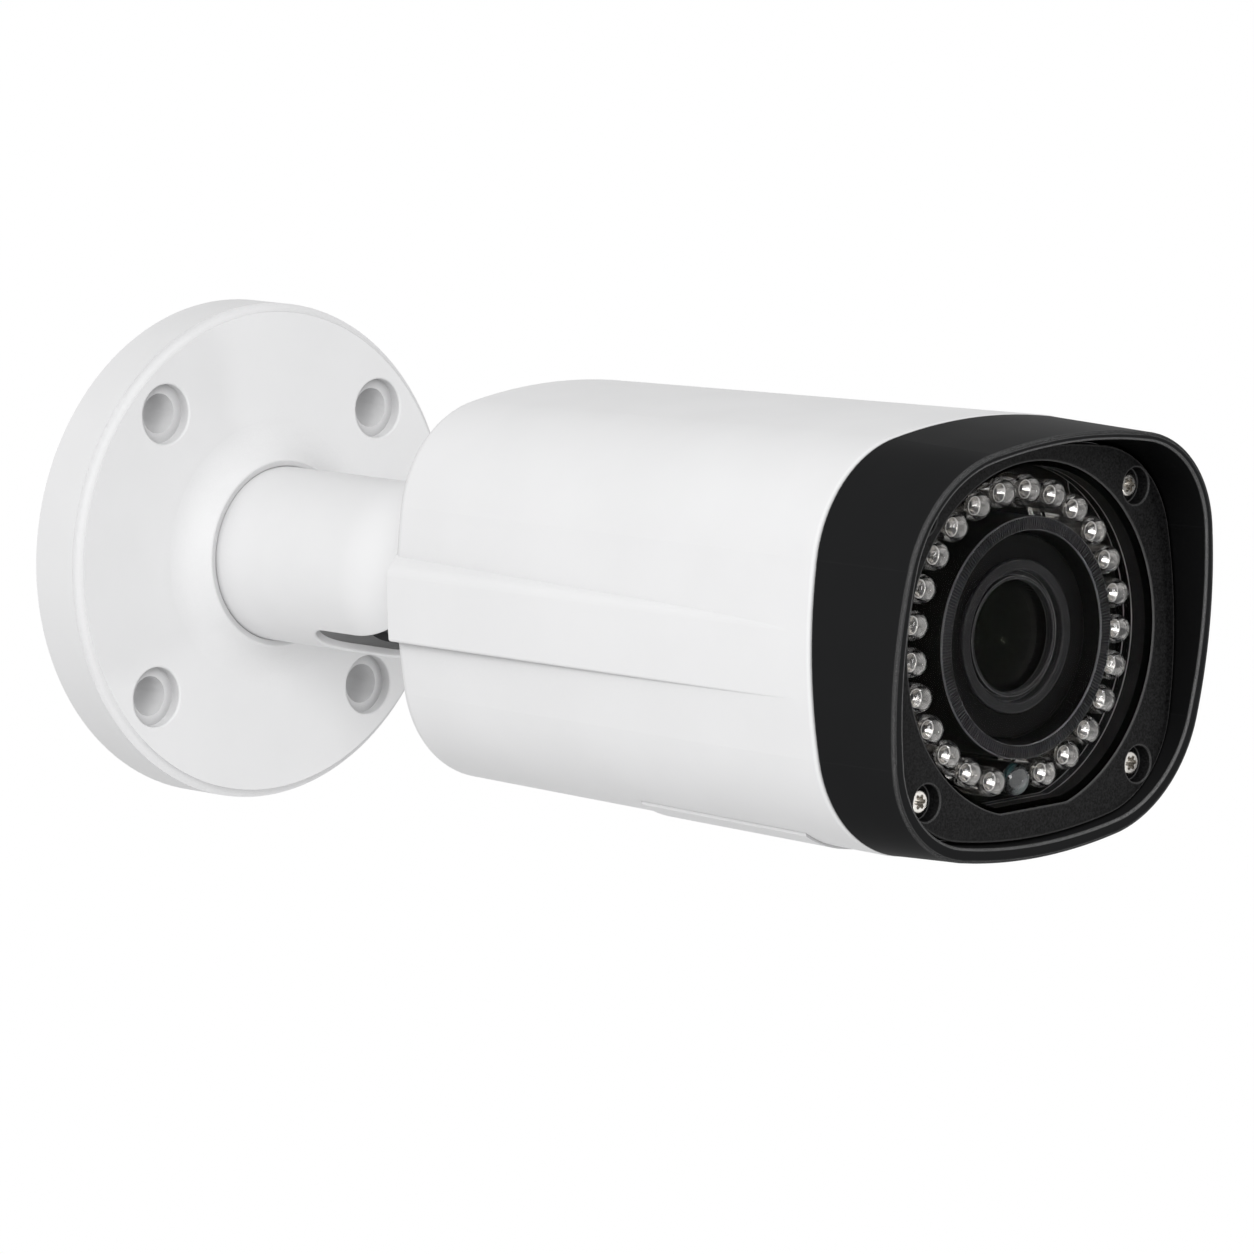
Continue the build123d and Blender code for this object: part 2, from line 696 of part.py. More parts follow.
# Front hood: sunshade skin with a slanted rim, shelf for the window, spigot
with BuildPart() as front_hood:
    flare = (rim_inset - hood_step) / (rim_h - seam_h)
    end_inset = hood_step + flare * (hood_end_h - seam_h)
    loft([section(seam_h, hood_step), section(hood_end_h, end_inset)], ruled=True)
    inner_end = plate_inset - (plate_inset - rim_inset - rim_wall) / (rim_h - shelf_h) * (
        hood_end_h - shelf_h
    )
    loft(
        [section(shelf_h, plate_inset), section(hood_end_h, inner_end)],
        ruled=True,
        mode=Mode.SUBTRACT,
    )
    extrude(section(seam_h - spigot_l, wall + slip), amount=spigot_l)
    extrude(
        section(seam_h - spigot_l, wall + slip + spigot_t),
        amount=shelf_h - shelf_t - seam_h + spigot_l,
        mode=Mode.SUBTRACT,
    )
    extrude(window(shelf_h - shelf_t, -shelf_under), amount=shelf_t, mode=Mode.SUBTRACT)
    extrude(
        discs(seam_h - spigot_l, front_boss_r + side_gap, front_spots),
        amount=spigot_l,
        mode=Mode.SUBTRACT,
    )
    extrude(
        discs(lamp_seat_h, front_boss_r, front_spots), amount=shelf_h - shelf_t - lamp_seat_h
    )
    extrude(
        discs(lamp_seat_h - 1, front_screw_r + slip, front_spots),
        amount=shelf_h - lamp_seat_h + 1,
        mode=Mode.SUBTRACT,
    )
    extrude(section(seam_h, front_seal_out), amount=front_seal_t, mode=Mode.SUBTRACT)
    extrude(section(seam_h, front_seal_in), amount=front_seal_t)
    extrude(
        section(seam_h, wall + slip + spigot_t), amount=front_seal_t + 0.5, mode=Mode.SUBTRACT
    )
    rim_frame = Plane(
        origin=(0, -rim_h, body_rise), x_dir=(1, 0, 0), z_dir=(0, -1, -rim_lean)
    )
    with BuildSketch(rim_frame):
        Rectangle(4 * base_r, 4 * base_r)
    extrude(amount=30, mode=Mode.SUBTRACT)
    for side, edge_r in (("out", rim_out_edge), ("in", rim_in_edge)):
        flats = front_hood.faces().filter_by(GeomType.PLANE)
        rim = [f for f in flats if abs(rim_frame.to_local_coords(f.center()).Z) < 0.001][0]
        wire = rim.outer_wire() if side == "out" else rim.inner_wires()[0]
        fillet(wire.edges(), edge_r)
save(front_hood.part, "front_hood")

with BuildPart() as front_seal:
    extrude(section(seam_h, front_seal_out), amount=front_seal_t)
    extrude(section(seam_h, front_seal_in), amount=front_seal_t, mode=Mode.SUBTRACT)
save(front_seal.part, "front_seal")

with BuildPart() as front_plate:
    extrude(section(shelf_h, plate_inset + seam_gap), amount=plate_h - shelf_h)
    extrude(window(shelf_h, glass_over + slip), amount=glass_front_h - shelf_h, mode=Mode.SUBTRACT)
    extrude(window(shelf_h, 0), amount=plate_h, mode=Mode.SUBTRACT)
    extrude(
        discs(shelf_h, front_screw_r + slip, front_spots), amount=plate_h, mode=Mode.SUBTRACT
    )
    extrude(
        discs(front_floor_h, front_recess_r, front_spots), amount=plate_h, mode=Mode.SUBTRACT
    )
    fillet(rims(front_plate, plate_h, front_recess_r), fine_edge - slip / 2)
    fillet(front_plate.faces().sort_by(Axis.Y)[0].outer_wire().edges(), fine_edge)
    holes = front_plate.faces().sort_by(Axis.Y)[0].inner_wires()
    fillet(holes.sort_by(SortBy.LENGTH)[-1].edges(), window_lip - slip)
save(front_plate.part, "front_plate")

with BuildPart() as front_screws:
    extrude(discs(front_floor_h, front_head_r, front_spots), amount=front_head_t)
    fillet(front_screws.edges().group_by(Axis.Y)[0], 0.6)
    extrude(
        discs(front_floor_h - front_screw_l, front_screw_r, front_spots), amount=front_screw_l
    )
    lobes = ring_spots(0.95, 6, 0)
    lobe_spots = [(x + u, z + v) for x, z in front_spots for u, v in lobes]
    drive_h = front_floor_h + front_head_t - 1.7
    extrude(discs(drive_h, 0.9, front_spots), amount=2, mode=Mode.SUBTRACT)
    extrude(discs(drive_h, 0.35, lobe_spots), amount=2, mode=Mode.SUBTRACT)
save(front_screws.part, "front_screws")

with BuildPart() as window_glass:
    extrude(window(glass_rear_h, glass_over), amount=glass_t)
save(window_glass.part, "window_glass")

with BuildPart() as window_gasket:
    extrude(window(shelf_h, gasket_over), amount=glass_rear_h - shelf_h)
    extrude(window(shelf_h, -shelf_under), amount=glass_rear_h - shelf_h, mode=Mode.SUBTRACT)
save(window_gasket.part, "window_gasket")

# Lamp board with its ring of infrared lamps, light sensor and lens shield
with BuildPart() as led_board:
    extrude(section(lamp_board_h, wall + slip + spigot_t + side_gap), amount=board_t)
    extrude(discs(lamp_board_h, shield_bore_r + 0.6, [(0, lens_z)]), amount=board_t, mode=Mode.SUBTRACT)
    extrude(discs(lamp_board_h, front_screw_r + slip, front_spots), amount=board_t, mode=Mode.SUBTRACT)
save(led_board.part, "led_board")

lamp_ring = ring_spots(lamp_ring_r, lamp_count + 1, -90)[1:]
lamp_spots = [(x, z + lens_z) for x, z in lamp_ring]
with BuildPart() as ir_leds:
    extrude(discs(lamp_seat_h, lamp_flange_r, lamp_spots), amount=1.0)
    extrude(discs(lamp_seat_h + 1.0, lamp_r, lamp_spots), amount=lamp_l - 1.0)
    fillet(ir_leds.edges().group_by(Axis.Y)[0], lamp_r - 0.02)
save(ir_leds.part, "ir_leds")

with BuildPart() as light_sensor:
    eye = [(0, lens_z - sensor_ring_r)]
    extrude(discs(lamp_seat_h, sensor_r, eye), amount=lamp_l - 0.8)
    fillet(light_sensor.edges().group_by(Axis.Y)[0], 1.2)
save(light_sensor.part, "light_sensor")

with BuildPart() as lens_shield:
    extrude(discs(lamp_seat_h, shield_r, [(0, lens_z)]), amount=glass_rear_h - lamp_seat_h)
    extrude(
        discs(lamp_seat_h, shield_bore_r, [(0, lens_z)]),
        amount=glass_rear_h - lamp_seat_h,
        mode=Mode.SUBTRACT,
    )
    fillet(lens_shield.edges().group_by(Axis.Y)[0], soft_edge)
save(lens_shield.part, "lens_shield")

# Varifocal lens
with BuildPart() as lens_barrel:
    steps = [
        (mount_front_h - 3.5, rear_lens_r),
        (mount_front_h - 3.5, 8.9),
        (mount_front_h, 8.9),
        (mount_front_h, barrel_r),
        (mount_front_h + 2, barrel_r),
        (mount_front_h + 2, collar_rim_r),
        (zoom_h - ring_gap, collar_rim_r),
        (zoom_h - ring_gap, barrel_r),
        (zoom_h + ring_l + ring_gap, barrel_r),
        (zoom_h + ring_l + ring_gap, collar_rim_r),
        (focus_h - ring_gap, collar_rim_r),
        (focus_h - ring_gap, barrel_r),
        (focus_h + ring_l + ring_gap, barrel_r),
        (focus_h + ring_l + ring_gap, collar_rim_r),
        (barrel_front_h - 7.1, collar_rim_r),
        (barrel_front_h - 5.1, bezel_r),
        (barrel_front_h, bezel_r),
        (barrel_front_h, barrel_r),
        (lens_seat_h, barrel_r),
        (lens_seat_h, barrel_bore_r),
        (zoom_h, barrel_bore_r),
        (zoom_h, rear_lens_r),
    ]
    revolve(turned(steps, lens_z), axis=lens_axis)
    fillet(rims(lens_barrel, barrel_front_h, bezel_r), soft_edge)
save(lens_barrel.part, "lens_barrel")

with BuildPart() as lens_front_ring:
    lip_r = front_lens_r + 0.1
    lip_h = lens_seat_h + front_bulge + 0.4
    lip_in_h = lens_seat_h + 1.5
    groove_h = lens_seat_h + 0.7
    steps = [
        (lens_seat_h, lip_r),
        (lip_in_h, lip_r),
        (lip_in_h, lip_r + 0.6),
        (groove_h, lip_r + 0.7),
        (groove_h, barrel_r - 1.9),
        (lip_h, barrel_r - 1.8),
        (lip_h, barrel_r),
        (lens_seat_h, barrel_r),
    ]
    revolve(turned(steps, lens_z), axis=lens_axis)
    fillet(rims(lens_front_ring, lip_h, barrel_r), fine_edge)
    fillet(rims(lens_front_ring, lip_h, barrel_r - 1.8), fine_edge)
    fillet(rims(lens_front_ring, lip_in_h, lip_r), fine_edge - slip)
save(lens_front_ring.part, "lens_front_ring")

with BuildPart() as front_lens:
    edge_h = lens_seat_h - lens_edge_t
    faces = (edge_h, lens_seat_h, edge_h + front_hollow, lens_seat_h + front_bulge)
    revolve(lens_profile(front_lens_r, *faces), axis=lens_axis)
    in_r = front_lens_r - 0.3
    rim = [(edge_h, in_r), (edge_h, barrel_bore_r), (lens_seat_h, barrel_bore_r), (lens_seat_h, in_r)]
    revolve(turned(rim, lens_z), axis=lens_axis)
save(front_lens.part, "front_lens")

with BuildPart() as inner_lens:
    faces = (focus_h + 4.0, focus_h + 7.0, focus_h + 2.4, focus_h + 8.8)
    revolve(lens_profile(barrel_bore_r, *faces), axis=lens_axis)
save(inner_lens.part, "inner_lens")

with BuildPart() as iris_stop:
    stop_h = focus_h - 4.0
    edge_h = stop_h + 1.2
    steps = [(stop_h, 3.5), (stop_h, barrel_bore_r), (edge_h, barrel_bore_r), (edge_h, 4.2)]
    revolve(turned(steps, lens_z), axis=lens_axis)
save(iris_stop.part, "iris_stop")

with BuildPart() as rear_lens:
    faces = (mount_front_h - 1.5, mount_front_h + 1.5, mount_front_h - 2.4, mount_front_h + 2.8)
    revolve(lens_profile(rear_lens_r, *faces), axis=lens_axis)
save(rear_lens.part, "rear_lens")

# Zoom and focus rings turn on the barrel, each with a thumb screw
for ring_name, ring_h in (("zoom", zoom_h), ("focus", focus_h)):
    with BuildPart() as ring:
        extrude(discs(ring_h, ring_r, [(0, lens_z)]), amount=ring_l)
        extrude(
            discs(ring_h, barrel_r + run_fit, [(0, lens_z)]), amount=ring_l, mode=Mode.SUBTRACT
        )
        extrude(
            dots(lens_z + barrel_r, 1.2, [(0, -ring_h - ring_l / 2)]), amount=6, mode=Mode.SUBTRACT
        )
    save(ring.part, f"{ring_name}_ring")
    with BuildPart() as thumb:
        thumb_spot = [(0, -ring_h - ring_l / 2)]
        extrude(dots(lens_z + barrel_r + 1.2, 1.2, thumb_spot), amount=5.0)
        extrude(dots(lens_z + ring_r + 1.5, 2.6, thumb_spot), amount=4.0)
    save(thumb.part, f"{ring_name}_lock_screw")

# Lens mount with the sliding filter in front of the image sensor
mount_h = sensor_board_h + board_t
with BuildPart() as lens_mount:
    centre = [(0, lens_z)]
    neck_end_h = mount_front_h - 4.0
    extrude(pads(mount_h, 30, 26, centre), amount=neck_end_h - mount_h)
    extrude(pads(mount_h, 44, 10, centre), amount=3.4)
    extrude(discs(neck_end_h, 12.0, centre), amount=mount_front_h - neck_end_h)
    extrude(pads(mount_h, 17, 15, centre), amount=4.0, mode=Mode.SUBTRACT)
    extrude(
        pads(filter_h - side_gap, 60, 13 + 2 * side_gap, centre),
        amount=filter_t + 2 * side_gap,
        mode=Mode.SUBTRACT,
    )
    extrude(discs(mount_h, 6.5, centre), amount=10, mode=Mode.SUBTRACT)
    extrude(discs(neck_end_h, 8.9, centre), amount=5, mode=Mode.SUBTRACT)
    ears = [(-18.5, lens_z), (18.5, lens_z)]
    extrude(discs(mount_h, 1.05, ears), amount=3.0, mode=Mode.SUBTRACT)
save(lens_mount.part, "lens_mount")

with BuildPart() as lens_mount_screws:
    extrude(discs(sensor_board_h - 1.4, 2.0, ears), amount=1.4)
    extrude(discs(sensor_board_h, 1.0, ears), amount=4.2)
    extrude(pads(sensor_board_h - 1.4, 2.4, 0.5, ears), amount=0.6, mode=Mode.SUBTRACT)
save(lens_mount_screws.part, "lens_mount_screws")

half_pitch = filter_pitch / 2
with BuildPart() as filter_slide:
    extrude(pads(filter_h, 24, 13, [(half_pitch, lens_z)]), amount=filter_t)
    extrude(
        pads(filter_h, 9.4, 9.4, [(0, lens_z), (filter_pitch, lens_z)]),
        amount=filter_t,
        mode=Mode.SUBTRACT,
    )
save(filter_slide.part, "filter_slide")

for glass_name, glass_x in (("ir_cut_glass", 0.0), ("clear_glass", filter_pitch)):
    with BuildPart() as pane:
        extrude(pads(filter_h + 0.3, 9.4, 9.4, [(glass_x, lens_z)]), amount=0.6)
    save(pane.part, glass_name)

with BuildPart() as image_sensor:
    extrude(pads(mount_h, 12, 10, centre), amount=1.4)
save(image_sensor.part, "image_sensor")

with BuildPart() as sensor_window:
    extrude(pads(mount_h + 1.4, 10, 8, centre), amount=0.5)
save(sensor_window.part, "sensor_window")

# Board stack: main board on the housing's bosses, standoffs, sensor board
stack_mid = [(0, body_rise)]
with BuildPart() as sensor_board:
    extrude(pads(sensor_board_h, 2 * stack_x + 8, 2 * stack_z + 8, stack_mid), amount=board_t)
    extrude(discs(sensor_board_h, front_screw_r, stack_spots), amount=board_t, mode=Mode.SUBTRACT)
    extrude(discs(sensor_board_h, 1.1, ears), amount=board_t, mode=Mode.SUBTRACT)
save(sensor_board.part, "sensor_board")

with BuildPart() as board_screws:
    extrude(discs(mount_h, 2.6, stack_spots), amount=1.8)
    extrude(discs(mount_h - 8, 1.25, stack_spots), amount=8)
    extrude(pads(mount_h + 1.0, 3.0, 0.6, stack_spots), amount=1, mode=Mode.SUBTRACT)
    extrude(pads(mount_h + 1.0, 0.6, 3.0, stack_spots), amount=1, mode=Mode.SUBTRACT)
save(board_screws.part, "board_screws")

standoff_h = main_board_h + board_t
with BuildPart() as board_standoffs:
    with BuildSketch(Plane.XZ.offset(standoff_h)):
        with Locations(*stack_spots):
            RegularPolygon(boss_r, 6)
    extrude(amount=sensor_board_h - standoff_h)
    extrude(discs(main_board_h - 7, 1.45, stack_spots), amount=7 + board_t)
    extrude(discs(sensor_board_h - 8, 1.3, stack_spots), amount=8, mode=Mode.SUBTRACT)
save(board_standoffs.part, "board_standoffs")

with BuildPart() as main_board:
    extrude(pads(main_board_h, 2 * stack_x + 10, 2 * stack_z + 12, stack_mid), amount=board_t)
    extrude(discs(main_board_h, front_screw_r, stack_spots), amount=board_t, mode=Mode.SUBTRACT)
save(main_board.part, "main_board")

with BuildPart() as board_chips:
    extrude(pads(standoff_h, 16, 16, [(-4, body_rise + 4)]), amount=1.5)
    extrude(pads(standoff_h, 10, 8, [(12, body_rise + 9), (12, body_rise - 5)]), amount=1.2)
    extrude(pads(main_board_h - 6, 14, 10, [(0, body_rise - 14)]), amount=6)
    extrude(pads(main_board_h - 4, 9, 9, [(-14, body_rise + 12), (14, body_rise + 12)]), amount=4)
save(board_chips.part, "board_chips")

with BuildPart() as board_connectors:
    extrude(pads(standoff_h, 18, 4, [(0, body_rise - 16)]), amount=3.5)
    extrude(pads(sensor_board_h - 3.5, 18, 4, [(0, body_rise - 16)]), amount=3.5)
    extrude(pads(main_board_h - 6, 12, 5, [(0, body_rise + 18)]), amount=6)
save(board_connectors.part, "board_connectors")

# Access cover, its gasket and screws
with BuildPart() as access_cover:
    extrude(floor(-60, 2 * cover_half_w, cover_l, [(0, -cover_mid_h)]), amount=50)
    loft(shell(-cover_proud), ruled=True, mode=Mode.INTERSECT)
    loft(shell(cover_in), ruled=True, mode=Mode.SUBTRACT)
    for h in cover_screw_h:
        extrude(dots(-60, 2.5, [(0, -h)]), amount=60 + bottom_z(h, 0.5), mode=Mode.SUBTRACT)
        extrude(dots(-60, 1.5, [(0, -h)]), amount=50, mode=Mode.SUBTRACT)
save(access_cover.part, "access_cover")

with BuildPart() as access_gasket:
    extrude(floor(-60, 2 * cover_half_w, cover_l, [(0, -cover_mid_h)]), amount=50)
    loft(shell(cover_in), ruled=True, mode=Mode.INTERSECT)
    loft(shell(cover_seat), ruled=True, mode=Mode.SUBTRACT)
    extrude(
        floor(-60, 2 * hatch_half_w, hatch_h1 - hatch_h0, [(0, -(hatch_h0 + hatch_h1) / 2)]),
        amount=50,
        mode=Mode.SUBTRACT,
    )
    for h in cover_screw_h:
        extrude(dots(-60, 1.6, [(0, -h)]), amount=50, mode=Mode.SUBTRACT)
save(access_gasket.part, "access_gasket")

with BuildPart() as access_screws:
    for h in cover_screw_h:
        seat_z = bottom_z(h, 0.5)
        extrude(dots(seat_z - 0.8, 2.2, [(0, -h)]), amount=0.8)
        extrude(dots(seat_z, 1.25, [(0, -h)]), amount=6.0)
        extrude(floor(seat_z - 0.8, 2.6, 0.5, [(0, -h)]), amount=0.5, mode=Mode.SUBTRACT)
        extrude(floor(seat_z - 0.8, 0.5, 2.6, [(0, -h)]), amount=0.5, mode=Mode.SUBTRACT)
save(access_screws.part, "access_screws")

# Service board behind the access cover: card slot and reset switch
io_mid_h = sum(io_post_h) / 2
switch_spot = [(10, -io_mid_h)]
with BuildPart() as io_board:
    extrude(floor(io_board_z, 2 * io_post_x + 4, 20, [(0, -io_mid_h)]), amount=1.2)
    extrude(dots(io_board_z, 0.9, io_spots), amount=1.2, mode=Mode.SUBTRACT)
save(io_board.part, "io_board")

with BuildPart() as io_board_screws:
    extrude(dots(io_board_z + 1.2, 1.6, io_spots), amount=1.2)
    extrude(dots(io_board_z - 2.5, 0.8, io_spots), amount=3.7)
    extrude(floor(io_board_z + 1.9, 2.0, 0.4, io_spots), amount=0.5, mode=Mode.SUBTRACT)
save(io_board_screws.part, "io_board_screws")

with BuildPart() as card_slot:
    extrude(floor(io_board_z - 1.8, 14.5, 15, [(-8, -io_mid_h)]), amount=1.8)
    extrude(floor(io_board_z - 1.4, 11.4, 13, [(-8, -io_mid_h - 1.5)]), amount=0.9, mode=Mode.SUBTRACT)
save(card_slot.part, "card_slot")

with BuildPart() as reset_switch:
    extrude(floor(io_board_z - 2.0, 5, 5, switch_spot), amount=2.0)
    extrude(dots(io_board_z - 2.0, 1.2 + run_fit, switch_spot), amount=1.4, mode=Mode.SUBTRACT)
save(reset_switch.part, "reset_switch")

with BuildPart() as reset_button:
    extrude(dots(io_board_z - 3.0, 1.2, switch_spot), amount=2.0)
save(reset_button.part, "reset_button")
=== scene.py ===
"""Looks of an outdoor bullet camera with a hooded front, on a round wall base.

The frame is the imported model: metres, the wall at Y = 0, the lens looking along -Y, +Z up.
A station h is the distance from the wall in millimetres, so station h lies at Y = -h / 1000.
"""

import json
import logging
from collections.abc import Sequence
from dataclasses import dataclass
from enum import Enum
from math import atan2, cos, pi, radians, sin

import bmesh
import bpy
from mathutils import Matrix, Vector


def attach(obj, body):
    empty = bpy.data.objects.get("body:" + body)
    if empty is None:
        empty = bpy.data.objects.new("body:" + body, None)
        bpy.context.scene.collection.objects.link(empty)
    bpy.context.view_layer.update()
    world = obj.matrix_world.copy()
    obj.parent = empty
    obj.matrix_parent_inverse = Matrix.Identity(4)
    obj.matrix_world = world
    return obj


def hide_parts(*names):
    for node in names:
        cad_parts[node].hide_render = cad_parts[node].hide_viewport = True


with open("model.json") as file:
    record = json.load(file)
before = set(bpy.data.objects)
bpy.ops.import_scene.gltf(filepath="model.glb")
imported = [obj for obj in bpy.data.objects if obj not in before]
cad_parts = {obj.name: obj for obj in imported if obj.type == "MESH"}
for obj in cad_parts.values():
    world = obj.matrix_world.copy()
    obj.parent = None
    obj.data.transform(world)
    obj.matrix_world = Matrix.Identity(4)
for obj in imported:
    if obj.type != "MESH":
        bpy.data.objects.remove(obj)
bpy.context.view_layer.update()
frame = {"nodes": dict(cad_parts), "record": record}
LOG = logging.getLogger("bullet_camera")
MM = 0.001
BLACK = (0.0, 0.0, 0.0, 1.0)
WHITE = (1.0, 1.0, 1.0, 1.0)

Color = tuple[float, float, float]


class Coat(Enum):
    """Finishes by the record's slot names."""

    WHITE_PAINT = "white_paint"
    DARK_CASTING = "dark_casting"
    BLACK_PAINT = "black_paint"
    BLACK_TEXTURE = "black_texture"
    BLACK_RUBBER = "black_rubber"
    STEEL = "steel"
    FRICTION_PLASTIC = "friction_plastic"
    WINDOW = "window"
    LAMP_GLASS = "lamp_glass"
    SENSOR_CELL = "sensor_cell"
    SHIELD_GREY = "shield_grey"
    LENS_BLACK = "lens_black"
    RING_GREY = "ring_grey"
    COATED_GLASS = "coated_glass"
    BOARD = "board"
    CHIP_BLACK = "chip_black"
    CONNECTOR_WHITE = "connector_white"
    BRASS = "brass"
    CLEAR_GLASS = "clear_glass"
    FILTER_GLASS = "filter_glass"


class Body(Enum):
    """Body of the model that the added pieces ride on."""

    CAMERA = "camera"


def add_node(
    tree: bpy.types.NodeTree, kind: str, inputs: dict | None = None, **settings: object
) -> bpy.types.Node:
    """Add a shader node.

    Args:
        tree: Node tree to add to.
        kind: Type of the node.
        inputs: Socket to link or value to set, by the name or number of the input.
        settings: Properties of the node.

    Returns:
        The node.
    """
    node = tree.nodes.new(kind)
    for name, value in settings.items():
        setattr(node, name, value)
    for key, value in (inputs or {}).items():
        if isinstance(value, bpy.types.NodeSocket):
            tree.links.new(value, node.inputs[key])
        else:
            node.inputs[key].default_value = value
    return node


def new_material(name: str) -> bpy.types.Material:
    """Return a new material with its node tree in use."""
    mat = bpy.data.materials.new(name)
    mat.use_nodes = True
    return mat


class SharedNodes:
    """Shader node groups that more than one finish uses, each built once."""

    @staticmethod
    def new_group(
        name: str, inputs: list[tuple], outputs: list[tuple]
    ) -> tuple[bpy.types.ShaderNodeTree, bpy.types.NodeOutputs, bpy.types.NodeInputs]:
        """Make an empty group with named sockets.

        Args:
            name: Name of the group.
            inputs: (name, socket type, default or None) of each input.
            outputs: (name, socket type) of each output.

        Returns:
            The group, the sockets that it is given and those that it puts out.
        """
        tree = bpy.data.node_groups.new(name, "ShaderNodeTree")
        for label, kind, default in inputs:
            socket = tree.interface.new_socket(label, in_out="INPUT", socket_type=kind)
            if default is not None:
                socket.default_value = default
        for label, kind in outputs:
            tree.interface.new_socket(label, in_out="OUTPUT", socket_type=kind)
        given = tree.nodes.new("NodeGroupInput").outputs
        return tree, given, tree.nodes.new("NodeGroupOutput").inputs

    @classmethod
    def mottle(cls) -> bpy.types.ShaderNodeTree:
        """Return the group that lets a finish's colour and gloss drift over a surface."""
        if "mottle" in bpy.data.node_groups:
            return bpy.data.node_groups["mottle"]
        tree, given, result = cls.new_group(
            "mottle",
            [
                ("Vector", "NodeSocketVector", None),
                ("Color", "NodeSocketColor", None),
                ("Tone", "NodeSocketFloat", 0.03),
                ("Roughness", "NodeSocketFloat", 0.4),
                ("Spread", "NodeSocketFloat", 0.05),
                ("Scale", "NodeSocketFloat", 60.0),
            ],
            [("Color", "NodeSocketColor"), ("Roughness", "NodeSocketFloat")],
        )
        noise = add_node(
            tree,
            "ShaderNodeTexNoise",
            {"Vector": given["Vector"], "Scale": given["Scale"], "Detail": 4.0},
        ).outputs["Fac"]
        spread = add_node(
            tree, "ShaderNodeMapRange", {"Value": noise, "From Min": 0.35, "From Max": 0.65}
        ).outputs["Result"]
        tone = add_node(
            tree, "ShaderNodeMath", {0: spread, 1: given["Tone"]}, operation="MULTIPLY"
        ).outputs[0]
        dark = add_node(
            tree,
            "ShaderNodeMix",
            {"Factor": tone, "A": given["Color"], "B": BLACK},
            data_type="RGBA",
        )
        gloss = add_node(
            tree,
            "ShaderNodeMath",
            {0: noise, 1: given["Spread"], 2: given["Roughness"]},
            operation="MULTIPLY_ADD",
        )
        tree.links.new(dark.outputs["Result"], result["Color"])
        tree.links.new(gloss.outputs[0], result["Roughness"])
        return tree

    @classmethod
    def grain(cls) -> bpy.types.ShaderNodeTree:
        """Return the group that gives the height of a fine moulded or sprayed grain."""
        if "grain" in bpy.data.node_groups:
            return bpy.data.node_groups["grain"]
        tree, given, result = cls.new_group(
            "grain",
            [("Vector", "NodeSocketVector", None), ("Scale", "NodeSocketFloat", 900.0)],
            [("Height", "NodeSocketFloat")],
        )
        fine = add_node(
            tree,
            "ShaderNodeTexNoise",
            {"Vector": given["Vector"], "Scale": given["Scale"], "Detail": 2.0},
        )
        tree.links.new(fine.outputs["Fac"], result["Height"])
        return tree

    @classmethod
    def painted_edge_highlight(cls) -> bpy.types.ShaderNodeTree:
        """Return the group that paints highlights into a colour along edges."""
        if "painted_edge_highlight" in bpy.data.node_groups:
            return bpy.data.node_groups["painted_edge_highlight"]
        tree, given, result = cls.new_group(
            "painted_edge_highlight",
            [
                ("Color", "NodeSocketColor", None),
                ("Highlight Color", "NodeSocketColor", None),
                ("Radius", "NodeSocketFloat", 0.0003),
                ("Reach", "NodeSocketFloat", 14.0),
            ],
            [("Color", "NodeSocketColor")],
        )
        # Painted highlight: the colour lightens along edges, where the bevelled normal turns
        # away from the surface normal.
        soft = add_node(tree, "ShaderNodeBevel", {"Radius": given["Radius"]}, samples=6)
        surface = add_node(tree, "ShaderNodeNewGeometry")
        match = add_node(
            tree,
            "ShaderNodeVectorMath",
            {0: soft.outputs["Normal"], 1: surface.outputs["Normal"]},
            operation="DOT_PRODUCT",
        ).outputs["Value"]
        lack = add_node(
            tree, "ShaderNodeMath", {0: 1.0, 1: match}, operation="SUBTRACT"
        ).outputs[0]
        mask = add_node(
            tree,
            "ShaderNodeMath",
            {0: lack, 1: given["Reach"]},
            operation="MULTIPLY",
            use_clamp=True,
        ).outputs[0]
        lit_edges = add_node(
            tree,
            "ShaderNodeMix",
            {"Factor": mask, "A": given["Color"], "B": given["Highlight Color"]},
            data_type="RGBA",
        )
        tree.links.new(lit_edges.outputs["Result"], result["Color"])
        return tree

    @classmethod
    def hollow(cls) -> bpy.types.ShaderNodeTree:
        """Return the group that paints shade into a colour in hollows and spares surfaces that
        face up, as if more light falls on them.
        """
        if "hollow" in bpy.data.node_groups:
            return bpy.data.node_groups["hollow"]
        tree, given, result = cls.new_group(
            "hollow",
            [
                ("Color", "NodeSocketColor", None),
                ("Shade Color", "NodeSocketColor", None),
                ("Distance", "NodeSocketFloat", 0.03),
            ],
            [("Color", "NodeSocketColor")],
        )
        # Painted shade: the colour darkens where ambient occlusion finds geometry nearby.
        open_sky = add_node(
            tree, "ShaderNodeAmbientOcclusion", {"Distance": given["Distance"]}, samples=4
        ).outputs["AO"]
        spread = add_node(
            tree, "ShaderNodeMapRange", {"Value": open_sky, "From Min": 0.5, "From Max": 0.95}
        ).outputs["Result"]
        # Painted light: surfaces that face up keep their full colour, as if lit from above.
        surface = add_node(tree, "ShaderNodeNewGeometry")
        lie = add_node(tree, "ShaderNodeSeparateXYZ", {0: surface.outputs["Normal"]})
        clear = add_node(
            tree, "ShaderNodeMath", {0: spread, 1: lie.outputs["Z"]}, operation="MAXIMUM"
        ).outputs[0]
        shaded = add_node(
            tree,
            "ShaderNodeMix",
            {"Factor": clear, "A": given["Shade Color"], "B": given["Color"]},
            data_type="RGBA",
        )
        tree.links.new(shaded.outputs["Result"], result["Color"])
        return tree


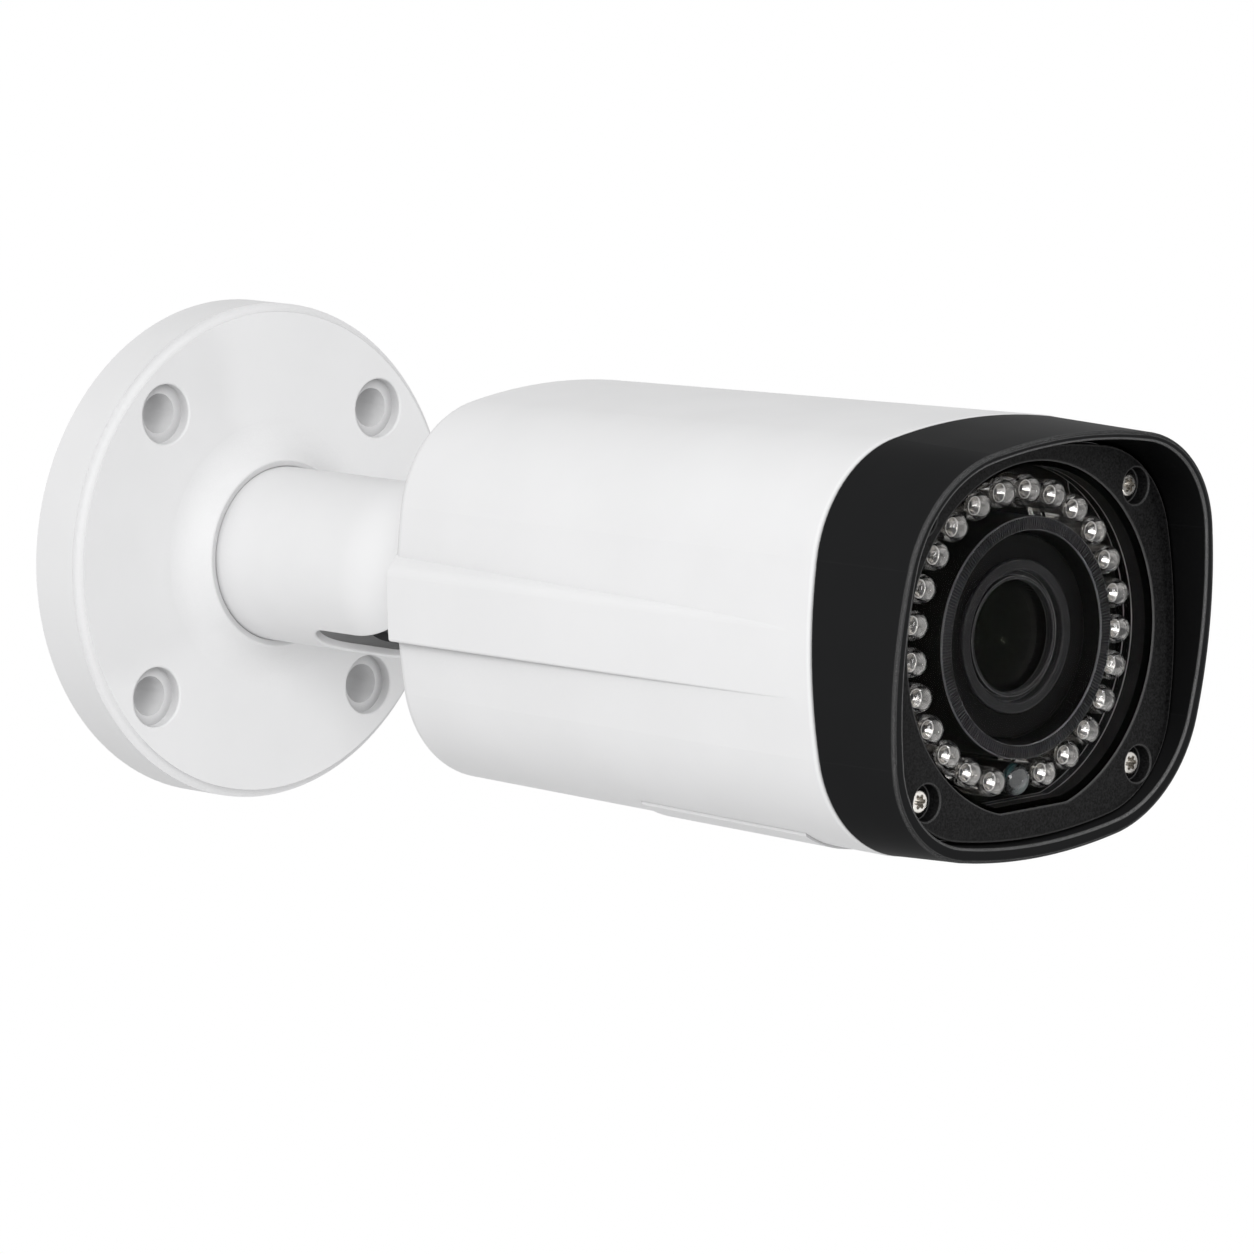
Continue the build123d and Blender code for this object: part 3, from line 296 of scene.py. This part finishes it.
@dataclass(frozen=True)
class Finish:
    """An opaque finish: paint, moulding, rubber or metal.

    Colours are linear. Grain height is in millimetres and its scale in features per metre.
    """

    coat: Coat
    color: Color
    rough: float
    metal: float = 0.0
    tone: float = 0.06
    spread: float = 0.06
    drift_scale: float = 60.0
    grain_mm: float = 0.0
    grain_scale: float = 900.0
    specular: float = 0.5
    highlight_color: Color | None = None
    highlight_mm: float = 0.3
    shade_color: Color | None = None
    shade_mm: float = 30.0

    def material(self) -> bpy.types.Material:
        """Build the material: drifting colour, painted shade in hollows, painted highlights
        along edges, fine grain.
        """
        mat = new_material(f"{self.coat.value}_finish")
        tree = mat.node_tree
        shader = tree.nodes["Principled BSDF"].inputs
        shader["Metallic"].default_value = self.metal
        shader["Specular IOR Level"].default_value = self.specular
        place = add_node(tree, "ShaderNodeTexCoord").outputs["Object"]
        mottle = add_node(
            tree,
            "ShaderNodeGroup",
            node_tree=SharedNodes.mottle(),
            inputs={
                "Vector": place,
                "Color": (*self.color, 1.0),
                "Tone": self.tone,
                "Roughness": self.rough - self.spread / 2,
                "Spread": self.spread,
                "Scale": self.drift_scale,
            },
        ).outputs
        tree.links.new(mottle["Roughness"], shader["Roughness"])
        tree.links.new(self.paint_shade_and_highlights(tree, mottle["Color"]), shader["Base Color"])
        if self.grain_mm:
            grain = add_node(
                tree,
                "ShaderNodeGroup",
                node_tree=SharedNodes.grain(),
                inputs={"Vector": place, "Scale": self.grain_scale},
            ).outputs["Height"]
            bump = add_node(
                tree,
                "ShaderNodeBump",
                {"Strength": 1.0, "Distance": self.grain_mm * MM, "Height": grain},
            )
            tree.links.new(bump.outputs["Normal"], shader["Normal"])
        return mat

    def paint_shade_and_highlights(
        self, tree: bpy.types.NodeTree, color: bpy.types.NodeSocket
    ) -> bpy.types.NodeSocket:
        """Paint shade into a colour in hollows and paint highlights along its edges, where the
        finish says so.

        Args:
            tree: Node tree of the material.
            color: Socket that puts out the colour.

        Returns:
            The socket that puts out the changed colour.
        """
        # Painted shade in hollows, lighter on surfaces that face up.
        if self.shade_color:
            color = add_node(
                tree,
                "ShaderNodeGroup",
                node_tree=SharedNodes.hollow(),
                inputs={
                    "Color": color,
                    "Shade Color": (*self.shade_color, 1.0),
                    "Distance": self.shade_mm * MM,
                },
            ).outputs["Color"]
        # Painted highlight along edges.
        if self.highlight_color:
            color = add_node(
                tree,
                "ShaderNodeGroup",
                node_tree=SharedNodes.painted_edge_highlight(),
                inputs={
                    "Color": color,
                    "Highlight Color": (*self.highlight_color, 1.0),
                    "Radius": self.highlight_mm * MM,
                },
            ).outputs["Color"]
        return color


@dataclass(frozen=True)
class Glass:
    """A clear finish: window, lamp or lens."""

    coat: Coat
    color: Color
    ior: float = 1.5
    sheen: Color = (1.0, 1.0, 1.0)
    clear: float = 1.0
    haze: float = 0.01

    def material(self) -> bpy.types.Material:
        """Build the material, with a faint haze that drifts over the glass."""
        mat = new_material(f"{self.coat.value}_finish")
        tree = mat.node_tree
        shader = tree.nodes["Principled BSDF"].inputs
        shader["Base Color"].default_value = (*self.color, 1.0)
        shader["Transmission Weight"].default_value = self.clear
        shader["IOR"].default_value = self.ior
        shader["Specular Tint"].default_value = (*self.sheen, 1.0)
        place = add_node(tree, "ShaderNodeTexCoord").outputs["Object"]
        mottle = add_node(
            tree,
            "ShaderNodeGroup",
            node_tree=SharedNodes.mottle(),
            inputs={"Vector": place, "Roughness": 0.0, "Spread": self.haze},
        )
        tree.links.new(mottle.outputs["Roughness"], shader["Roughness"])
        return mat


@dataclass(frozen=True)
class PaintedSheen:
    """A glossy cell with a painted sheen: its colour runs across it, from one side to the other,
    standing in for a reflection.

    Lengths are in metres. The colours stand at places from 0 to 1 along the run.
    """

    coat: Coat
    stops: tuple[tuple[float, Color], ...]
    start: tuple[float, float, float]
    width: float
    turn: float
    rough: float = 0.2

    def material(self) -> bpy.types.Material:
        """Build the material, with its run of colours laid over the cell as a painted sheen."""
        mat = new_material(f"{self.coat.value}_finish")
        tree = mat.node_tree
        shader = tree.nodes["Principled BSDF"].inputs
        shader["Roughness"].default_value = self.rough
        across = add_node(
            tree,
            "ShaderNodeMapping",
            vector_type="TEXTURE",
            inputs={
                "Vector": add_node(tree, "ShaderNodeTexCoord").outputs["Object"],
                "Location": self.start,
                "Rotation": (0.0, radians(self.turn), 0.0),
                "Scale": (self.width, self.width, self.width),
            },
        ).outputs["Vector"]
        run = add_node(tree, "ShaderNodeTexGradient", {"Vector": across}).outputs["Fac"]
        ramp = add_node(tree, "ShaderNodeValToRGB", {"Fac": run})
        while len(ramp.color_ramp.elements) < len(self.stops):
            ramp.color_ramp.elements.new(1.0)
        for element, (spot, color) in zip(ramp.color_ramp.elements, self.stops):
            element.position = spot
            element.color = (*color, 1.0)
        tree.links.new(ramp.outputs["Color"], shader["Base Color"])
        return mat


FINISHES: dict[Coat, Finish | Glass | PaintedSheen] = {
    f.coat: f
    for f in (
        # White paint with painted shade in grooves, seams and hollows.
        Finish(
            Coat.WHITE_PAINT, (0.80, 0.80, 0.805), 0.42, tone=0.02, specular=0.06,
            grain_mm=0.004, grain_scale=1400, shade_color=(0.5, 0.5, 0.505), shade_mm=6.0,
        ),
        Finish(Coat.DARK_CASTING, (0.05, 0.05, 0.055), 0.55, grain_mm=0.02, grain_scale=1200),
        # Black paint with painted shade in its hollows, such as the hood's inside, and painted
        # highlight lines along its edges.
        Finish(
            Coat.BLACK_PAINT, (0.0145, 0.0147, 0.0152), 0.42, specular=0.006,
            grain_mm=0.004, grain_scale=2600, highlight_color=(0.5, 0.5, 0.5), highlight_mm=0.45,
            shade_color=(0.001, 0.001, 0.001),
        ),
        # Textured black with painted highlight lines along its edges.
        Finish(
            Coat.BLACK_TEXTURE, (0.013, 0.013, 0.0134), 0.42, tone=0.9, drift_scale=3400.0,
            specular=0.06, grain_mm=0.06, grain_scale=2600,
            highlight_color=(0.15, 0.15, 0.15), highlight_mm=0.4,
        ),
        Finish(Coat.BLACK_RUBBER, (0.006, 0.006, 0.006), 0.75, specular=0.1, grain_mm=0.01),
        Finish(
            Coat.STEEL, (0.56, 0.54, 0.51), 0.24, metal=1.0, grain_mm=0.002, grain_scale=3000
        ),
        Finish(Coat.FRICTION_PLASTIC, (0.70, 0.69, 0.64), 0.5),
        Glass(Coat.WINDOW, (1.0, 1.0, 1.0), ior=1.05),
        Glass(Coat.LAMP_GLASS, (0.97, 0.98, 1.0), ior=1.54, clear=0.985),
        # Painted sheen: the cell's colour runs from dark teal to near-white across it, standing
        # in for a reflection.
        PaintedSheen(
            Coat.SENSOR_CELL,
            (
                (0.0, (0.006, 0.06, 0.065)),
                (0.25, (0.003, 0.007, 0.007)),
                (0.62, (0.008, 0.01, 0.01)),
                (0.97, (0.35, 0.4, 0.39)),
            ),
            start=(-0.0014, 0.0, -0.0191),
            width=0.0048,
            turn=53.0,
        ),
        Finish(Coat.SHIELD_GREY, (0.088, 0.088, 0.092), 0.5, specular=0.1),
        Finish(Coat.LENS_BLACK, (0.003, 0.003, 0.003), 0.45, specular=0.02),
        # Grey ring with painted highlight lines along its edges.
        Finish(
            Coat.RING_GREY, (0.013, 0.013, 0.0135), 0.4, specular=0.06,
            highlight_color=(0.12, 0.12, 0.12), highlight_mm=0.2,
        ),
        Glass(Coat.COATED_GLASS, (0.5, 0.52, 0.56), ior=1.09, sheen=(0.6, 0.75, 0.45)),
        Finish(Coat.BOARD, (0.006, 0.006, 0.006), 0.4, specular=0.04),
        Finish(Coat.CHIP_BLACK, (0.02, 0.02, 0.02), 0.5),
        Finish(Coat.CONNECTOR_WHITE, (0.75, 0.73, 0.66), 0.45),
        Finish(Coat.BRASS, (0.60, 0.42, 0.16), 0.3, metal=1.0),
        Glass(Coat.CLEAR_GLASS, (0.97, 1.0, 1.0)),
        Glass(Coat.FILTER_GLASS, (0.6, 0.85, 0.9)),
    )
}


class Wardrobe:
    """Built materials, one for each coat, and the dressing of the CAD nodes."""

    def __init__(self) -> None:
        """Build every finish once."""
        self.materials = {coat: finish.material() for coat, finish in FINISHES.items()}

    def put_on(self, obj: bpy.types.Object, coat: Coat) -> None:
        """Give an object one finish in place of those that it has."""
        obj.data.materials.clear()
        obj.data.materials.append(self.materials[coat])

    def dress_nodes(self) -> None:
        """Give every CAD node the finish of its slot in the record."""
        for entry in frame["record"]["subparts"]:
            node = frame["nodes"][entry["node"]]
            self.put_on(node, Coat(entry["material_slot"]))
            LOG.info("%s: %s", entry["node"], entry["material_slot"])


class Pen:
    """Draws a half outline on the XY plane and turns it about an axis along Y.

    Points are given as (h, r): station and radius in millimetres.
    """

    corner_segments = 3
    merge_distance = 0.0005

    def __init__(self, h: float, r: float) -> None:
        """Start an outline at a point."""
        self.bm = bmesh.new()
        self.tip = self.bm.verts.new((r, -h, 0.0))
        self.corners: list[tuple[bmesh.types.BMVert, float]] = []

    def line_to(self, h: float, r: float, rounding: float = 0.0) -> "Pen":
        """Draw a straight line.

        Args:
            h: Station to draw to.
            r: Radius to draw to.
            rounding: Radius for the corner at the line's far end.

        Returns:
            The pen itself.
        """
        out = bmesh.ops.extrude_vert_indiv(self.bm, verts=[self.tip])
        self.tip = out["verts"][0]
        self.tip.co = (r, -h, 0.0)
        if rounding:
            self.corners.append((self.tip, rounding))
        return self

    def arc(self, h: float, r: float, degrees: float, steps: int) -> "Pen":
        """Draw an arc.

        Args:
            h: Station of the arc's centre.
            r: Radius at which the arc's centre lies.
            degrees: Angle to sweep, positive from the axis of radii towards the wall.
            steps: Number of straight pieces.

        Returns:
            The pen itself.
        """
        out = bmesh.ops.spin(
            self.bm,
            geom=[self.tip],
            cent=(r, -h, 0.0),
            axis=(0.0, 0.0, 1.0),
            angle=radians(degrees),
            steps=steps,
            use_duplicate=False,
        )
        self.tip = next(v for v in out["geom_last"] if isinstance(v, bmesh.types.BMVert))
        return self

    def turn(self, steps: int) -> bmesh.types.BMesh:
        """Round the corners and turn the outline into a closed shape.

        Args:
            steps: Number of faces round the axis.

        Returns:
            The turned mesh, its axis on the Y axis.
        """
        for corner, radius in self.corners:
            bmesh.ops.bevel(
                self.bm,
                geom=[corner],
                offset=radius,
                offset_type="OFFSET",
                segments=self.corner_segments,
                profile=0.5,
                affect="VERTICES",
                material=-1,
            )
        bmesh.ops.spin(
            self.bm,
            geom=self.bm.verts[:] + self.bm.edges[:],
            cent=(0.0, 0.0, 0.0),
            axis=(0.0, 1.0, 0.0),
            angle=2 * pi,
            steps=steps,
            use_merge=True,
        )
        bmesh.ops.remove_doubles(self.bm, verts=self.bm.verts, dist=self.merge_distance)
        bmesh.ops.recalc_face_normals(self.bm, faces=self.bm.faces)
        return self.bm


class Bench:
    """Common steps that end in a finished piece."""

    def __init__(self, wardrobe: Wardrobe) -> None:
        """Keep the wardrobe that dresses the pieces."""
        self.wardrobe = wardrobe

    @staticmethod
    def block(
        bm: bmesh.types.BMesh, size: Sequence[float], centre: Sequence[float], edge: float
    ) -> None:
        """Add a block with rounded edges to a mesh.

        Args:
            bm: Mesh to add to.
            size: Its three sides.
            centre: Where its centre lies.
            edge: Radius of its edges.
        """
        place = Matrix.Translation(centre) @ Matrix.Diagonal((*size, 1.0))
        verts = bmesh.ops.create_cube(bm, size=1.0, matrix=place)["verts"]
        edges = list({e for v in verts for e in v.link_edges})
        bmesh.ops.bevel(
            bm, geom=edges, offset=edge, offset_type="OFFSET", segments=1, profile=0.5,
            affect="EDGES", material=-1,
        )

    @staticmethod
    def repeat(bm: bmesh.types.BMesh, places: Sequence[Matrix]) -> bmesh.types.BMesh:
        """Put a copy of everything in a mesh at each place, and drop the first one.

        Args:
            bm: Mesh to repeat.
            places: Where the copies go.

        Returns:
            The same mesh.
        """
        first = bm.verts[:] + bm.edges[:] + bm.faces[:]
        for place in places:
            copy = bmesh.ops.duplicate(bm, geom=first)["geom"]
            verts = [v for v in copy if isinstance(v, bmesh.types.BMVert)]
            bmesh.ops.transform(bm, matrix=place, verts=verts)
        verts = [v for v in first if isinstance(v, bmesh.types.BMVert)]
        bmesh.ops.delete(bm, geom=verts, context="VERTS")
        return bm

    def piece(
        self,
        name: str,
        bm: bmesh.types.BMesh,
        coat: Coat,
        body: Body,
        stands_for: Sequence[str] = (),
        crease: float = 32.0,
    ) -> None:
        """Make a finished piece of a mesh in millimetres.

        Args:
            name: Name of the piece.
            bm: Its mesh, which is freed.
            coat: Its finish.
            body: Body that it rides on.
            stands_for: CAD nodes that it replaces.
            crease: Angle in degrees past which an edge stays sharp.
        """
        bmesh.ops.scale(bm, vec=(MM, MM, MM), verts=bm.verts)
        mesh = bpy.data.meshes.new(name)
        bm.to_mesh(mesh)
        bm.free()
        mesh.shade_smooth()
        mesh.set_sharp_from_angle(angle=radians(crease))
        obj = bpy.data.objects.new(name, mesh)
        bpy.context.scene.collection.objects.link(obj)
        self.wardrobe.put_on(obj, coat)
        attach(obj, body.value)
        if stands_for:
            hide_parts(*stands_for)
        LOG.info("%s: %d faces on %s", name, len(mesh.polygons), body.value)


@dataclass
class LampRing:
    """Ring of clear infrared lamps, each with a cup, a die, two posts and a pad cast in.

    The parts of a cup are shares of its radius. Stations that end in _rise are above the cup's
    foot.
    """

    ring_r: float = 24.3
    axis_z: float = 2.9
    places: int = 25
    seat_h: float = 190.0
    flange_r: float = 2.9
    flange_t: float = 1.0
    flange_round: float = 0.15
    neck_round: float = 0.1
    bulb_r: float = 2.5
    shoulder: float = 0.08
    shoulder_round: float = 0.03
    tip_h: float = 200.6
    bulb_steps: int = 28
    dome_steps: int = 10
    cup_h: float = 196.7
    cup_r: float = 1.0
    cup_t: float = 1.1
    cup_foot: float = 0.7
    cup_lip: float = 0.86
    cup_floor: float = 0.4
    floor_rise: float = 0.35
    foot_round: float = 0.1
    rim_round: float = 0.06
    lip_round: float = 0.05
    cup_steps: int = 18
    pad_r: float = 2.25
    pad_t: float = 0.1
    pad_lift: float = 0.2
    anvil_x: float = -0.3
    anvil_rise: float = 0.1
    post_x: float = 1.3
    post_w: float = 0.6
    bar_t: float = 0.4
    post_edge: float = 0.08
    die_w: float = 0.5
    die_t: float = 0.2
    die_rise: float = 0.6
    die_edge: float = 0.03
    bulb_crease: float = 50.0

    def spots(self) -> list[Matrix]:
        """Return where each lamp goes, its posts across the ring."""
        turns = []
        for i in range(1, self.places):
            angle = radians(-90 + i * 360 / self.places)
            x, z = self.ring_r * cos(angle), self.ring_r * sin(angle) + self.axis_z
            turns.append(Matrix.Translation((x, 0.0, z)) @ Matrix.Rotation(-angle, 4, "Y"))
        return turns

    def bulbs(self) -> bmesh.types.BMesh:
        """Return the cast clear bodies."""
        neck_h = self.seat_h + self.flange_t
        dome_r = self.bulb_r - self.shoulder
        dome_h = self.tip_h - dome_r
        pen = Pen(self.seat_h, 0.0)
        pen.line_to(self.seat_h, self.flange_r, self.flange_round)
        pen.line_to(neck_h, self.flange_r, self.flange_round)
        pen.line_to(neck_h, self.bulb_r, self.neck_round)
        pen.line_to(dome_h, self.bulb_r, self.shoulder_round).line_to(dome_h, dome_r)
        pen.arc(dome_h, 0.0, -90.0, self.dome_steps)
        return Bench.repeat(pen.turn(self.bulb_steps), self.spots())

    def frames(self) -> bmesh.types.BMesh:
        """Return the bright cups, posts and pads inside the lamps."""
        top, floor = self.cup_h + self.cup_t, self.cup_h + self.floor_rise
        pen = Pen(self.cup_h, 0.0)
        pen.line_to(self.cup_h, self.cup_r * self.cup_foot, self.foot_round)
        pen.line_to(top, self.cup_r, self.rim_round)
        pen.line_to(top, self.cup_r * self.cup_lip, self.lip_round)
        pen.line_to(floor, self.cup_r * self.cup_floor).line_to(floor, 0.0)
        bm = pen.turn(self.cup_steps)
        low = self.seat_h + self.pad_lift
        bmesh.ops.create_cone(
            bm,
            cap_ends=True,
            segments=self.cup_steps,
            radius1=self.pad_r,
            radius2=self.pad_r,
            depth=self.pad_t,
            matrix=Matrix.Translation((0.0, -low, 0.0)) @ Matrix.Rotation(pi / 2, 4, "X"),
        )
        for x, end in ((self.anvil_x, self.cup_h + self.anvil_rise), (self.post_x, self.cup_h)):
            size = (self.post_w, end - low, self.post_w)
            Bench.block(bm, size, (x, -(low + end) / 2, 0.0), self.post_edge)
        size = (self.post_w, self.bar_t, self.post_w)
        Bench.block(bm, size, (self.post_x, self.bar_t / 2 - self.cup_h, 0.0), self.post_edge)
        return Bench.repeat(bm, self.spots())

    def dies(self) -> bmesh.types.BMesh:
        """Return the small dies in the cups."""
        bm = bmesh.new()
        size = (self.die_w, self.die_t, self.die_w)
        Bench.block(bm, size, (0.0, -self.cup_h - self.die_rise, 0.0), self.die_edge)
        return Bench.repeat(bm, self.spots())

    def build(self, bench: Bench) -> None:
        """Make the lamps and put them on the camera."""
        bench.piece(
            "lamp_bulbs", self.bulbs(), Coat.LAMP_GLASS, Body.CAMERA, ["ir_leds"],
            self.bulb_crease,
        )
        bench.piece("lamp_frames", self.frames(), Coat.STEEL, Body.CAMERA)
        bench.piece("lamp_dies", self.dies(), Coat.CHIP_BLACK, Body.CAMERA)


@dataclass
class LightCell:
    """Light sensor under the lens: a clear cap over a cell with a painted sheen, in a dark can.
    """

    ring_r: float = 23.9
    axis_z: float = 2.9
    seat_h: float = 190.0
    steps: int = 32
    can_r: float = 2.75
    can_h: float = 197.4
    can_round: float = 0.1
    cell_h: float = 198.0
    cell_inset: float = 0.35
    cell_round: float = 0.08
    cell_lift: float = 0.02
    cap_h: float = 198.6
    cap_round: float = 0.9
    cap_lift: float = 0.01
    crown_r: float = 1.5
    crown_rise: float = 0.9
    crown_round: float = 1.0
    tip_rise: float = 1.2

    def in_place(self, pen: Pen) -> bmesh.types.BMesh:
        """Return the turned outline, moved to where the sensor stands."""
        place = Matrix.Translation((0.0, 0.0, self.axis_z - self.ring_r))
        return Bench.repeat(pen.turn(self.steps), [place])

    def disc(self, low: float, high: float, r: float, rounding: float) -> bmesh.types.BMesh:
        """Return a disc with a rounded front edge.

        Args:
            low: Station of its back.
            high: Station of its front.
            r: Its radius.
            rounding: Radius of its front edge.

        Returns:
            The disc's mesh.
        """
        pen = Pen(low, 0.0).line_to(low, r).line_to(high, r, rounding).line_to(high, 0.0)
        return self.in_place(pen)

    def cap(self) -> bmesh.types.BMesh:
        """Return the clear cap."""
        low = self.can_h + self.cap_lift
        pen = Pen(low, 0.0).line_to(low, self.can_r)
        pen.line_to(self.cap_h, self.can_r, self.cap_round)
        pen.line_to(self.cap_h + self.crown_rise, self.crown_r, self.crown_round)
        pen.line_to(self.cap_h + self.tip_rise, 0.0)
        return self.in_place(pen)

    def build(self, bench: Bench) -> None:
        """Make the can, cell and cap."""
        can = self.disc(self.seat_h, self.can_h, self.can_r, self.can_round)
        bench.piece("cell_can", can, Coat.LENS_BLACK, Body.CAMERA)
        cell = self.disc(
            self.can_h + self.cell_lift, self.cell_h, self.can_r - self.cell_inset,
            self.cell_round,
        )
        bench.piece("cell_disc", cell, Coat.SENSOR_CELL, Body.CAMERA)
        bench.piece("cell_cap", self.cap(), Coat.LAMP_GLASS, Body.CAMERA, ["light_sensor"])


@dataclass
class LensShield:
    """Ring round the lens that keeps the lamps' light out of it, its face finely ribbed."""

    axis_z: float = 2.9
    seat_h: float = 190.0
    face_h: float = 200.9
    out_r: float = 20.1
    bore_r: float = 17.8
    face_t: float = 0.4
    edge: float = 0.15
    wall_steps: int = 120
    rib_count: int = 230
    rib_depth: float = 0.3
    rib_side: float = 0.03
    flat_tolerance: float = 0.01

    def in_place(self, bm: bmesh.types.BMesh) -> bmesh.types.BMesh:
        """Return a turned mesh, moved to the lens's axis."""
        return Bench.repeat(bm, [Matrix.Translation((0.0, 0.0, self.axis_z))])

    def wall(self) -> bmesh.types.BMesh:
        """Return the black wall that stands on the lamp board."""
        top = self.face_h - self.face_t
        pen = Pen(self.seat_h, self.bore_r).line_to(self.seat_h, self.out_r, self.edge)
        pen.line_to(top, self.out_r).line_to(top, self.bore_r)
        pen.line_to(self.seat_h, self.bore_r)
        return self.in_place(pen.turn(self.wall_steps))

    def face(self) -> bmesh.types.BMesh:
        """Return the grey face, with every other strip sunk."""
        top = self.face_h - self.face_t
        pen = Pen(top, self.bore_r).line_to(top, self.out_r)
        pen.line_to(self.face_h, self.out_r, self.edge)
        pen.line_to(self.face_h, self.bore_r, self.edge)
        pen.line_to(top, self.bore_r)
        bm = pen.turn(2 * self.rib_count)
        strips = []
        for face in bm.faces:
            spot = face.calc_center_median()
            strip = int(atan2(spot.z, spot.x) / pi * self.rib_count + 2 * self.rib_count)
            if spot.y < self.flat_tolerance - self.face_h and strip % 2:
                strips.append(face)
        bmesh.ops.inset_individual(
            bm, faces=strips, thickness=self.rib_side, depth=-self.rib_depth
        )
        return self.in_place(bm)

    def build(self, bench: Bench) -> None:
        """Make the wall and its ribbed face."""
        bench.piece(
            "shield_wall", self.wall(), Coat.LENS_BLACK, Body.CAMERA, ["lens_shield"]
        )
        bench.piece("shield_face", self.face(), Coat.SHIELD_GREY, Body.CAMERA)


@dataclass(frozen=True)
class SoftLamp:
    """A square soft lamp, placed in metres from the view's target along the view's axes."""

    name: str
    right: float
    up: float
    back: float
    side: float
    watts: float
    diffuse: bool = True


LAMPS = (
    SoftLamp("key", right=-0.2, up=0.34, back=1.5, side=0.8, watts=14.5),
    SoftLamp("fill", right=1.72, up=-0.33, back=0.41, side=0.1, watts=2.5),
    SoftLamp("spark", right=0.35, up=1.4, back=0.65, side=0.4, watts=10.0, diffuse=False),
)


@dataclass
class Studio:
    """Camera at the photograph's viewing angle, soft lamps, white ground.

    Angles are in degrees and lengths in millimetres, apart from clip_end in metres.
    focus_px is the lens for a picture of picture_px.
    """

    picture_px: float = 1254.0
    focus_px: float = 8000.0
    sensor_w: float = 36.0
    clip_end: float = 30.0
    azimuth: float = -43.502
    elevation: float = 8.593
    roll: float = -0.945
    distance: float = 1379.94
    shift_right: float = -3.007
    shift_up: float = -4.17
    target: tuple[float, float, float] = (0.0, -110.0, 0.0)
    room_light: float = 0.62
    floor_z: float = -900.0
    floor_half: float = 9000.0
    floor_color: Color = (0.82, 0.82, 0.82)
    floor_rough: float = 0.7

    def axes(self) -> tuple[Vector, Vector, Vector]:
        """Return the camera's right, up and backward directions."""
        a, e, r = (radians(v) for v in (self.azimuth, self.elevation, self.roll))
        back = Vector((sin(a) * cos(e), -cos(a) * cos(e), sin(e)))
        right = Vector((cos(a), sin(a), 0.0))
        up = back.cross(right)
        return right * cos(r) + up * sin(r), up * cos(r) - right * sin(r), back

    def add_camera(self) -> None:
        """Add the camera and make it the scene's own."""
        right, up, back = self.axes()
        data = bpy.data.cameras.new("view")
        data.sensor_width = self.sensor_w
        data.lens = self.sensor_w * self.focus_px / self.picture_px
        data.clip_end = self.clip_end
        camera = bpy.data.objects.new("view", data)
        place = Vector(self.target) + back * self.distance
        place += right * self.shift_right + up * self.shift_up
        turn = Matrix((right, up, back)).transposed().to_4x4()
        camera.matrix_world = Matrix.Translation(place * MM) @ turn
        bpy.context.scene.collection.objects.link(camera)
        bpy.context.scene.camera = camera

    def add_lamps(self) -> None:
        """Add a broad key lamp, a small lamp for the lens and one that only makes highlights."""
        right, up, back = self.axes()
        for soft in LAMPS:
            data = bpy.data.lights.new(soft.name, "AREA")
            data.size = soft.side
            data.energy = soft.watts
            lamp = bpy.data.objects.new(soft.name, data)
            lamp.visible_diffuse = soft.diffuse
            step = back * soft.back + right * soft.right + up * soft.up
            spot = Vector(self.target) * MM + step
            turn = (-step).to_track_quat("-Z", "Y").to_matrix().to_4x4()
            lamp.matrix_world = Matrix.Translation(spot) @ turn
            bpy.context.scene.collection.objects.link(lamp)

    @staticmethod
    def white_to_view(
        tree: bpy.types.NodeTree, plain: bpy.types.Node, white: bpy.types.Node, end: str
    ) -> None:
        """Show one shader to camera, glossy and transmission rays and another to the rest.

        Args:
            tree: Node tree of the shaders.
            plain: Shader that lights the scene.
            white: Shader that the view, mirrors and glass show.
            end: Name of the output node.
        """
        rays = add_node(tree, "ShaderNodeLightPath").outputs
        first = add_node(
            tree,
            "ShaderNodeMath",
            {0: rays["Is Camera Ray"], 1: rays["Is Glossy Ray"]},
            operation="MAXIMUM",
        )
        mask = add_node(
            tree,
            "ShaderNodeMath",
            {0: first.outputs[0], 1: rays["Is Transmission Ray"]},
            operation="MAXIMUM",
        )
        mix = add_node(
            tree,
            "ShaderNodeMixShader",
            {0: mask.outputs[0], 1: plain.outputs[0], 2: white.outputs[0]},
        )
        tree.links.new(mix.outputs[0], tree.nodes[end].inputs["Surface"])

    def add_world(self) -> None:
        """Light the scene softly, with a background that is white to the view."""
        world = bpy.data.worlds.new("soft_room")
        world.use_nodes = True
        tree = world.node_tree
        plain = tree.nodes["Background"]
        plain.inputs["Color"].default_value = WHITE
        plain.inputs["Strength"].default_value = self.room_light
        white = add_node(tree, "ShaderNodeBackground", {"Color": WHITE, "Strength": 1.0})
        self.white_to_view(tree, plain, white, "World Output")
        bpy.context.scene.world = world

    def add_floor(self) -> None:
        """Add a pale floor far below the wall base."""
        bm = bmesh.new()
        place = Matrix.Translation((0.0, 0.0, self.floor_z * MM))
        bmesh.ops.create_grid(
            bm, x_segments=1, y_segments=1, size=self.floor_half * MM, matrix=place
        )
        mesh = bpy.data.meshes.new("floor")
        bm.to_mesh(mesh)
        bm.free()
        floor = bpy.data.objects.new("floor", mesh)
        bpy.context.scene.collection.objects.link(floor)
        mat = new_material("pale_floor")
        shader = mat.node_tree.nodes["Principled BSDF"]
        shader.inputs["Base Color"].default_value = (*self.floor_color, 1.0)
        shader.inputs["Roughness"].default_value = self.floor_rough
        glow = add_node(mat.node_tree, "ShaderNodeEmission")
        self.white_to_view(mat.node_tree, shader, glow, "Material Output")
        mesh.materials.append(mat)

    def build(self) -> None:
        """Add camera, lamps, world and floor."""
        self.add_camera()
        self.add_lamps()
        self.add_world()
        self.add_floor()
        bpy.context.scene.view_settings.view_transform = "Standard"


def main() -> None:
    """Build and dress everything, in order."""
    logging.basicConfig(level=logging.INFO)
    wardrobe = Wardrobe()
    wardrobe.dress_nodes()
    bench = Bench(wardrobe)
    for assembly in (LampRing(), LightCell(), LensShield()):
        assembly.build(bench)
    Studio().build()


if __name__ == "__main__":
    main()
